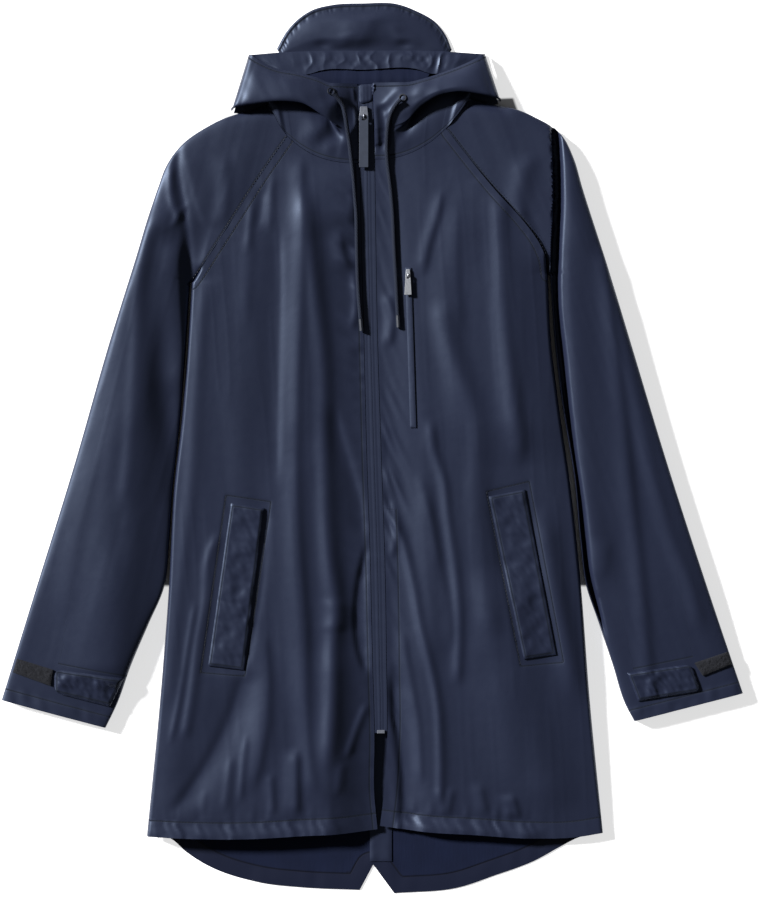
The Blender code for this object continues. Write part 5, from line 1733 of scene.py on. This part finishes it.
    def build(self, cloth: Material, fuzz: Material) -> None:
        """The sleeve, closed under the arm, and what is sewn on its cuff.

        Args:
            cloth: the coat's cloth.
            fuzz: hook-and-loop tape.
        """
        name = self.side.value
        grid = self.grid
        upright = np.zeros(grid.shape[:2], int)
        upright[self.side_rows + 1:, 0] = upright[-1, :self.columns] = -1
        upright[self.side_rows + 1:, -1] = upright[-1, self.columns + 1:] = 1
        wall = Wall(f"sleeve_{name}_tube", grid, upright=upright, round_rows=self.side_rows + 1,
                    up_columns=self.columns, lines=self.lines)
        wall.sew(cloth, f"sleeve_{name}")
        tab = Patch(f"cuff_tab_{name}_cloth", CUFF_TAB[self.side], 26, 56, DOUBLE, LAID, crumple=1.5,
                    edge=0.9, seed=81, round_corners=TAB_ROUNDS[self.side], frame_lines=(3.0,), step=11.0)
        tab.lay([self.upper], cloth, f"cuff_tab_{name}")
        strip = Patch(f"cuff_strip_{name}_tape", CUFF_STRIP[self.side], 24, 50, DOUBLE, LAID, crumple=0.5,
                      edge=0.5, seed=83, step=3.0)
        strip.lay([self.upper], fuzz, f"cuff_strip_{name}", "hook_and_loop")


# ---------------------------------------------------------------- hood


def plan_way(start: np.ndarray, end: np.ndarray) -> np.ndarray:
    """Unit directions in plan from start points to end points."""
    way = (end - start) * (1, 1, 0)
    return way / np.maximum(np.linalg.norm(way, axis=1), TINY)[:, None]


@dataclass
class HoodSide:
    """One side of the folded-down hood: from its opening over the roll and back under it to the neck."""

    front: Front
    neck_columns: int = 40
    rows: int = 84
    over_rows: int = 46

    @cached_property
    def grid(self) -> np.ndarray:
        """Outer face: a smooth curve through eleven stops at each share of the neck seam.

        Returns:
            Rows × columns × 3 points, rows from the opening to the neck.
        """
        side = self.front.side
        shoulder_shares = even(self.neck_columns) ** 1.6
        shoulder = smooth_curve(side_points(SHOULDER_NECK, side)[::-1], shoulder_shares)
        chest = smooth_curve(side_points(FRONT_NECK, side), self.front.shares())
        neck = shifted(join(shoulder, chest), SEAM, NAPE)
        neck[-1] = zip_edge(side, [neck[-1, 1]])[0]
        shares = chord_shares(neck)
        neck[0] = neck[0] + SHOULDER_CORNER[side]
        front_top = self.front.grid[-1, :, 2]
        over_shoulder = front_top[0] + (CLOTH + LAID) * smoothstep(1.0, 0.7, shoulder_shares)
        neck_z = join(over_shoulder, front_top)
        neck_z[0] = HOOD[side][0].roll_z
        table = np.array(HOOD[side], float)
        stations = ease_through(table[:, 0], table[:, 1:], shares, steady=True)
        opening, roll = stations[:, 0:3], stations[:, 3:6]
        tip = np.column_stack([stations[:, 6:8], roll[:, 2]])
        neck = np.column_stack([neck, neck_z])
        lift = np.array([0.0, 0.0, 1.0])
        swell = lift * HOOD_SWELL * (smoothstep(0.0, 0.2, shares) * smoothstep(1.0, 0.8, shares))[:, None]
        corner = 0.9 * smoothstep(0.0, 0.03, shares) * smoothstep(0.4, 0.3, shares)
        fall = np.maximum(np.clip((roll[:, 2:] - neck[:, 2:]) / ROLL_DROPS[-1], 0.0, 1.0), corner[:, None])
        folded = smoothstep(0.0, 10.0, np.linalg.norm(tip - roll, axis=1))[:, None]
        hollow = (smoothstep(0.03, 0.12, shares) * smoothstep(*HOLLOW_FADE[side], shares))[:, None]
        ways = [plan_way(roll, opening)] * 2 + [plan_way(roll, tip)] * 3 + [plan_way(tip, neck)]
        stops = [opening] + [opening + (roll - opening) * share + swell for share in (0.35, 0.72)]
        starts = [roll] * 3 + [tip] * 3
        for start, way, reach, drop, run in zip(starts, ways, ROLL_REACH, ROLL_DROPS, ROLL_RUNS):
            turn = start + way * reach - lift * drop * fall
            plain = roll + plan_way(roll, neck) * run - lift * drop * fall * 0.35
            deep = HOLLOW_DEPTH * hollow * max(0.0, (drop - 4.0) / 4.6) ** 0.6
            stops.append(plain + folded * (turn - plain) - lift * deep)
        rise = np.clip(roll[:, 2:] - neck[:, 2:], 0.0, 8.0) * 0.25 * (1 - hollow)
        rise = rise + HOLLOW_LIFT[side] * hollow
        under = HOLLOW_START[side] * folded * (tip - neck) + 0.35 * (1 - folded) * (roll - neck)
        stops.append(neck + under * (1, 1, 0) + lift * rise)
        stops.append(neck)
        stops = np.array(stops)
        rows = join(np.linspace(0.0, 4.0, self.over_rows + 1),
                    np.linspace(4.0, 10.0, self.rows - self.over_rows + 1))
        grid = ease_through(np.arange(len(stops)), stops.reshape(len(stops), -1), rows)
        grid = self.creased(grid.reshape(len(rows), -1, 3), shares, rows)
        grid[:, -1, :2] = zip_edge(side, grid[:, -1, 1])
        grid[:, -1, 2] = level("zip", grid[:, -1, 1])
        return grid

    def creased(self, grid: np.ndarray, shares: np.ndarray, rows: np.ndarray) -> np.ndarray:
        """The grid moved along its normals by slanting creases, calm at the edges, the turn and the zip.

        Args:
            grid: the smooth face.
            shares: share of the neck seam at each column.
            rows: stop number of each row.

        Returns:
            The creased face.
        """
        seed = SEEDS[self.front.side].hood
        normals = grid_normals(grid)
        share, row = shares[None, :], rows[:, None]
        x, y = grid[..., 0], grid[..., 1]
        slant = Ripple(seed).at((x + 0.5 * y) / 13.0 + 70, (y - 0.5 * x) / 34.0 + 70)
        broad = Ripple(seed + 1).at(x / 30.0 + 70, y / 26.0 + 70)
        calm = smoothstep(0.0, 0.8, row) * smoothstep(4.6, 3.2, row)
        lower = smoothstep(7.5, 9.0, row) * smoothstep(10.0, 9.2, row) * smoothstep(0.45, 0.6, share)
        ends = smoothstep(0.0, 0.12, share) * smoothstep(1.0, 0.9, share)
        amount = (0.5 * slant + 0.6 * broad) * (calm + 0.6 * lower) * ends
        drawn = crease_height(HOOD_CREASES[self.front.side], x, y)
        drawn = drawn * np.clip(normals[..., 2], 0.0, 1.0) ** 0.5
        drawn = drawn * smoothstep(0.0, 0.6, row) * smoothstep(10.0, 9.7, row)
        drawn = drawn * smoothstep(1.0, 0.96, share) * smoothstep(0.42, 0.5, share)
        return grid + normals * (amount + drawn)[..., None]

    def build(self, cloth: Material) -> None:
        """The side as a wall of cloth."""
        name = self.front.side.value
        grid = self.grid
        rows, columns = grid.shape[:2]
        faces = grid_faces(rows, columns)
        upright = np.zeros((rows, columns), int)
        upright[:, -1] = -1
        upright[np.linspace(0, 1, rows) > 0.965, :] = -1
        steps = np.linalg.norm(np.diff(grid, axis=0), axis=2)
        opening = np.cumsum(np.r_[np.zeros((1, columns)), steps], axis=0)
        neck = opening[-1:] - opening
        wall = Wall(f"hood_side_{name}_panel", grid, upright=upright, lines=(opening - 4.5, neck - 4.0))
        over = faces[: (self.over_rows - 1) * (columns - 1)]
        wall.upwards = bool(face_squares(grid.reshape(-1, 3), over)[:, 2].sum()
                            * face_squares(grid.reshape(-1, 3), faces)[:, 2].sum() > 0)
        wall.sew(cloth, f"hood_side_{name}")

    def upper(self) -> np.ndarray:
        """The part of the face from the opening to the roll."""
        return self.grid[: self.over_rows]


@dataclass
class HoodCrown:
    """The back of the hood, the gathered band inside it, the neck facing and the peak."""

    across: int = 280
    along: int = 30
    gathers: float = 13.0
    neck_top: tuple[Point, ...] = ((-78, 454), (-10, 452), (74, 454))
    to_rim: np.ndarray | None = field(default=None, repr=False)

    def band(self, foot: Any, top: Any, across: np.ndarray, rows: int) -> np.ndarray:
        """Plan grid between two curves."""
        low, high = smooth_curve(foot, across), smooth_curve(top, across)
        along = even(rows)[:, None]
        return coons(low, high, low[0] + along * (high[0] - low[0]), low[-1] + along * (high[-1] - low[-1]),
                     across, even(rows))

    def build_back(self, cloth: Material) -> None:
        """The back of the hood: flat on its outer side and curling up at both ends."""
        plan = self.band(HOOD_FOOT, HOOD_TOP, crowded_ends(140), 28)
        x = plan[..., 0]
        z = 2.5 * (1.0 - round_rise(np.minimum(x - x[:, :1], x[:, -1:] - x), 18.0))
        Wall("hood_back_panel", np.dstack([plan, z]), upwards=False).sew(cloth, "hood_back")

    def build_gathers(self, cloth: Material) -> None:
        """The gathered band: uneven sharp crests that run down it, a bent wave of a wave."""
        across = even(self.across)
        plan = self.band(FACING_FOOT, FACING_TOP, across, self.along)
        along = even(self.along)[:, None]
        ends = smoothstep(0.0, 0.1, across) * smoothstep(1.0, 0.9, across)
        bend = Ripple(131).at(across * 14.0 + 40, along * 1.6 + 40)
        phase = np.pi * self.gathers * (across + 0.035 * bend)
        crests = 1.0 - np.abs(np.sin(phase + 0.6 * Ripple(132).at(across * 9.0 + 40, along * 2.0 + 50)))
        crests = crests**1.1 + 0.35 * Ripple(133).at(across * 46.0 + 40, along * 3.5 + 50)
        height = 0.6 + 0.7 * Ripple(134).at(across * 12.0 + 50, along + 50)
        z = 8.4 + 4.0 * ends * (1 - along) ** 0.8
        z = z + 1.4 * ends * crests * height * np.sin(np.pi * (0.2 + 0.75 * along))
        wall = Wall("hood_gathers", np.dstack([plan, np.maximum(z, 7.2)]))
        wall.sew(cloth, "hood_facing", hold=Hold.GATHERED)

    def build_neck(self, wrong_side: Material) -> None:
        """The neck facing inside the hood, rising towards the gathers."""
        plan = self.band(NECK_FACING[:2], self.neck_top, even(120), 24)
        x, y = plan[..., 0], plan[..., 1]
        z = 13.2 - 3.6 * smoothstep(434, 452, y) - 2.0 * smoothstep(430, 424, y)
        z += 0.35 * Ripple(141).at(x / 7.0 + 40, y / 60.0 + 40) * smoothstep(422, 427, y)
        wall = Wall("neck_facing_cloth", np.dstack([plan, z]), upright=np.full(z.shape, -1),
                    lines=(y - 425.0,))
        wall.sew(wrong_side, "neck_facing", slot="cloth_wrong_side")

    def visor_grid(self) -> np.ndarray:
        """The peak's upper face: crowned, with a piped and pleated rim and a soft dimple at each end."""
        shares = even(200)
        rim, base = smooth_curve(VISOR_RIM, shares), smooth_curve(VISOR_BASE, shares)
        along = even(60)[:, None] ** 0.85
        plan = base[None] + along[..., None] * (rim - base)[None]
        crown = np.sin(np.pi * shares) ** 0.5
        z = DOUBLE + 0.2 + 3.8 * (1 - along) ** 0.7
        z = z + 4.0 * np.sin(np.pi * along) * crown * smoothstep(0.0, 0.4, along)
        x, y = plan[..., 0], plan[..., 1]
        self.to_rim = distance_to(rim[::3], x, y)
        for spot in place(VISOR_DIMPLES):
            z = z - 1.7 * bell(np.hypot(x - spot[0], (y - spot[1]) / 0.55), 9.0)
        z += 0.8 * bell(self.to_rim - 1.8, 1.7)
        pleats = np.abs(Ripple(151).at(shares * 58.0 + 20, 30.0))
        z -= 1.1 * pleats * bell(self.to_rim - 5.5, 3.0) * (0.35 + 0.65 * np.abs(2 * shares - 0.9) ** 0.6)
        creases = crease_height(VISOR_CREASES, x, y)
        z += creases * smoothstep(2, 12, self.to_rim) * smoothstep(0, 0.15, along)
        broad = 0.5 * Ripple(152).at(x / 22.0 + 40, y / 16.0 + 40)
        z += broad * smoothstep(0, 10, self.to_rim) * smoothstep(0, 0.2, along)
        return np.dstack([plan, np.maximum(z, DOUBLE + 0.05)])

    def build_visor(self, cloth: Material) -> None:
        """The peak."""
        grid = self.visor_grid()
        Wall("visor_peak", grid, DOUBLE, lines=(self.to_rim - 4.0,)).sew(cloth, "visor")


# ---------------------------------------------------------------- zips


@dataclass
class MainZip:
    """The main zip's two tapes, from foot to top in mm up the coat."""

    rows: int = 560
    columns: int = 9
    foot: float = -336.0
    top: float = 427.0

    def tape(self, side: Side) -> np.ndarray:
        """Upper face of a tape: flush with the cloth, a fine groove beside a raised lip at the middle."""
        y = np.linspace(self.foot, self.top, self.rows)
        edge, other = zip_edge(side, y), zip_edge(side.other, y)
        middle = (edge + other) / 2
        towards = np.sign(middle[:, :1] - edge[:, :1]) * (1.0, 0.0)
        outer, inner = edge + towards * LAID, middle - towards * SEAM / 2
        share = even(self.columns)
        plan = outer[:, None] + share[None, :, None] * (inner - outer)[:, None]
        z = level("zip", plan[..., 1]) + 0.1 * bell(share - 0.82, 0.14) - 0.12 * bell(share - 0.5, 0.1)
        z = z + 0.12 * Ripple(161).at(y[:, None] / 12.0 + 50, 30.0)
        return np.dstack([plan, z])

    def build(self, finish: Material) -> list[np.ndarray]:
        """Both tapes.

        Args:
            finish: the tapes' material.

        Returns:
            Their upper faces.
        """
        grids = []
        for side in Side:
            grid = self.tape(side)
            wall = Wall(f"zip_tape_{side.value}_cloth", grid, upright=np.full(grid.shape[:2], -1))
            wall.sew(finish, f"zip_tape_{side.value}", slot="zip_tape")
            grids.append(grid)
        return grids


# ---------------------------------------------------------------- cords


@dataclass
class Drawcord:
    """A hood drawcord: a braided tube along its route, down to its tip.  length: run of its UV map (m)."""

    side: Side
    length: float = 0.3
    around: int = 14
    steps: int = 420

    def build(self, braid: Material) -> None:
        """The tube: a circle carried along the route, one of its axes always level."""
        centre = smooth_curve(CORD_ROUTE[self.side], even(self.steps - 1))
        coarse = smooth_curve(CORD_ROUTE[self.side], even(CORD_POINTS - 1))
        tangent = np.gradient(centre, axis=0)
        tangent /= np.linalg.norm(tangent, axis=1)[:, None]
        across = np.cross(tangent, (0.0, 0.0, 1.0))
        across /= np.linalg.norm(across, axis=1)[:, None]
        up = np.cross(across, tangent)
        angle = np.linspace(0.0, math.tau, self.around, endpoint=False)
        ring = np.cos(angle)[None, :, None] * across[:, None] + np.sin(angle)[None, :, None] * up[:, None]
        points = (centre[:, None] + ring * CORD_WIDTH / 2).reshape(-1, 3)
        rows = np.arange(self.steps - 1)[:, None] * self.around
        here = np.arange(self.around)[None, :]
        after = (here + 1) % self.around
        beyond = rows + self.around
        faces = np.stack([rows + here, rows + after, beyond + after, beyond + here], axis=-1)
        faces = faces.reshape(-1, 4)[:, ::-1]
        first = np.arange(self.around)
        ends = [first.tolist(), (len(points) - 1 - first).tolist()]
        name = self.side.value
        piece = new_piece(f"drawcord_{name}_braid", points, faces.tolist() + ends, braid)
        uv = piece.data.uv_layers.new(name="round")
        corner = faces.ravel()
        shares = np.stack([(corner % self.around) / self.around,
                           (corner // self.around) / self.steps * self.length], axis=1)
        wrap = shares.reshape(-1, 4, 2)
        jump = (wrap[..., 0].max(axis=1) - wrap[..., 0].min(axis=1)) > 0.5
        wrap[..., 0] += jump[:, None] & (wrap[..., 0] < 0.5)
        full = np.zeros((len(piece.data.loops), 2))
        full[:len(corner)] = wrap.reshape(-1, 2)
        uv.data.foreach_set("uv", full.ravel())
        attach(piece, COAT)
        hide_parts(f"drawcord_{name}")
        tuple(coarse[0] * MM)
        (coarse * MM).tolist()


# ---------------------------------------------------------------- sewing


@dataclass
class Sewing:
    """Stitches along lines on the panels, joined into one piece."""

    name: str
    pitch: float = 3.9
    stitch: float = 3.0
    radius: float = 0.3
    lift: float = 0.12
    spots: list[np.ndarray] = field(default_factory=list)

    def along(self, line: np.ndarray, grids: Sequence[np.ndarray]) -> None:
        """Adds stitches at even steps along a plan line, laid on some faces.

        Args:
            line: plan points in mm.
            grids: upper faces.
        """
        length = np.linalg.norm(np.diff(line, axis=0), axis=1).sum()
        count = int(length / self.pitch)
        if count < 1:
            return
        shares = (np.arange(count) + 0.5) / count
        half = self.stitch / 2 / length
        dense = np.concatenate([shares - half, shares + half])
        plan = np.stack([np.interp(dense, chord_shares(line), line[:, axis]) for axis in (0, 1)], axis=1)
        height, normal = lie_on(grids, plan)
        found = (height[:count] > -FAR) & (height[count:] > -FAR)
        ends = np.column_stack([plan, height]) + normal * self.lift
        self.spots.append(np.stack([ends[:count], ends[count:], normal[:count]], axis=1)[found])

    def build(self, thread: Material) -> None:
        """The stitches as long eight-sided drops: two ends and a square waist."""
        spots = np.concatenate(self.spots)
        start, end, normal = spots[:, 0], spots[:, 1], spots[:, 2]
        way = (end - start) / np.linalg.norm(end - start, axis=1)[:, None]
        across = np.cross(way, normal)
        across /= np.maximum(np.linalg.norm(across, axis=1), TINY)[:, None]
        up = np.cross(across, way)
        middle = (start + end) / 2
        points = np.stack([start, end, middle + across * self.radius, middle + up * self.radius,
                           middle - across * self.radius, middle - up * self.radius], axis=1)
        pattern = np.array([(0, 3, 2), (0, 4, 3), (0, 5, 4), (0, 2, 5),
                            (1, 2, 3), (1, 3, 4), (1, 4, 5), (1, 5, 2)])
        faces = (pattern[None] + points.shape[1] * np.arange(len(points))[:, None, None]).reshape(-1, 3)
        piece = new_piece(self.name, points.reshape(-1, 3), faces.tolist(), thread, sharp=80.0)
        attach(piece, COAT)
        LOG.info("%s: %d stitches", piece.name, len(points))


# ---------------------------------------------------------------- stage


@dataclass
class Studio:
    """A pale floor that glows with painted light to lighten its shadows, a low key light from the upper
    left, soft fill and the camera overhead.

    travel and elevation: the key light's way in plan and its height, in degrees.
    """

    centre: tuple[float, float] = (0.0136, -0.0024)
    height: float = 2.96
    key: float = 7.2
    travel: float = -28.0
    elevation: float = 29.0
    sun_width: float = 8.0
    air: float = 0.08
    # strength of the floor's glow: painted light, no lamp
    painted_glow: float = 0.66
    reach: float = 4.0
    focal: float = 100.0
    sensor: float = 36.0

    def build(self) -> None:
        """Floor, lights and camera."""
        self.build_floor()
        scene = bpy.context.scene
        world = bpy.data.worlds.new("studio_air")
        world.use_nodes = True
        air = world.node_tree.nodes["Background"].inputs
        air["Color"].default_value = (1.0, 1.0, 1.0, 1.0)
        air["Strength"].default_value = self.air
        scene.world = world
        lamp = bpy.data.lights.new("key", "SUN")
        lamp.energy = self.key
        lamp.angle = math.radians(self.sun_width)
        turn, drop = math.radians(self.travel), math.radians(self.elevation)
        travel = Vector((math.cos(turn) * math.cos(drop), math.sin(turn) * math.cos(drop), -math.sin(drop)))
        added("key", lamp).rotation_euler = travel.to_track_quat("-Z", "Y").to_euler()
        lens = bpy.data.cameras.new("overhead")
        lens.sensor_fit = "VERTICAL"
        lens.sensor_height = self.sensor
        lens.lens = self.focal
        camera = added("overhead", lens)
        camera.location = (*self.centre, self.height)
        scene.camera = camera
        scene.view_settings.view_transform = "Standard"

    def build_floor(self) -> None:
        """A floor that glows softly: painted light that lightens the shadows cast on it, but not under the
        body, so that no gap shines.  Places in metres.
        """
        recipe = Recipe("floor_paper")
        x, y = recipe.split(recipe.place())
        shoulder = (y - 0.15).larger(0.0)
        under = ((0.262 - shoulder * 0.35 - abs(x)) * 300.0).held() * ((y + 0.165) * 300.0).held()
        under = under * ((0.408 + x * 0.045 - y) * 400.0).held()
        # Painted light: white glow everywhere but under the body.
        painted_glow = recipe.mixed(under, (1.0, 1.0, 1.0), (0.0, 0.0, 0.0))
        far = self.reach
        mesh = bpy.data.meshes.new("floor")
        corners = [(-far, -far, 0), (far, -far, 0), (far, far, 0), (-far, far, 0)]
        mesh.from_pydata(corners, [], [(0, 1, 2, 3)])
        mesh.materials.append(recipe.dress((0.9, 0.9, 0.9), 1.0, None, Specular_IOR_Level=0.0,
                                           Emission_Color=painted_glow, Emission_Strength=self.painted_glow))
        floor = added("floor", mesh)


# ---------------------------------------------------------------- the coat


def repaint(nodes: dict[str, bpy.types.Object]) -> None:
    """Gives the hard parts' CAD nodes their finishes."""
    for finish, names in HARD_PARTS.items():
        material = finish.make()
        for name in names:
            for slot in nodes[name].material_slots:
                slot.material = material


def main() -> None:
    """Loads the frame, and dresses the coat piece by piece."""
    logging.basicConfig(level=logging.INFO, format="%(name)s: %(message)s")
    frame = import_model()
    Studio().build()
    cloth, wrong_side = CoatedCloth().make(), WrongSide().make()
    tape, fuzz = ZipTapeFinish().make(), HookAndLoop().make()
    braid, thread = Braid().make(), Thread().make()
    repaint(frame["nodes"])
    for side in Side:
        Drawcord(side).build(braid)
    Back().build(cloth, wrong_side)
    fronts, hoods = {}, {}
    for side in Side:
        front = fronts[side] = Front(side)
        front.build(cloth)
        sleeve = Sleeve(side)
        sleeve.build(cloth, fuzz)
        hoods[side] = HoodSide(front)
        hoods[side].build(cloth)
        welt = Patch(f"pocket_welt_{side.value}_cloth", POCKET_WELT[side], 110, 22, DOUBLE, LAID,
                     crumple=0.9, edge=0.8, seed=87, step=12.0, frame_lines=(2.6,))
        welt.lay([front.grid], cloth, f"pocket_welt_{side.value}")
        sewing = Sewing(f"stitches_{side.value}")
        for line in front.stitch_lines() + sleeve.stitch_lines():
            sewing.along(line, [front.grid, sleeve.upper])
        opening = hoods[side].upper()
        sewing.along(opening[3, 4:-2, :2], [opening])   # a row beside the opening, clear of both ends
        sewing.build(thread)
    crown = HoodCrown()
    crown.build_back(cloth)
    crown.build_gathers(cloth)
    crown.build_neck(wrong_side)
    crown.build_visor(cloth)
    tapes = MainZip().build(tape)
    uppers = [fronts[side].grid for side in Side] + [hoods[side].upper() for side in Side] + tapes
    garage = Patch("zip_garage_flap", GARAGE, 24, 16, CLOTH, LAID, crumple=0.2, edge=0.6, seed=95,
                   round_corners=(4.0, 4.0, 2.0, 2.0))
    garage.lay(uppers, cloth, "zip_garage")
    chest = Patch("chest_zip_lips", CHEST_ZIP, 150, 12, CLOTH, LAID, crumple=0.1, edge=0.3, seed=97)
    chest.lay([fronts[LEFT].grid], tape, "chest_zip_tape", "zip_tape")


if __name__ == "__main__":
    main()
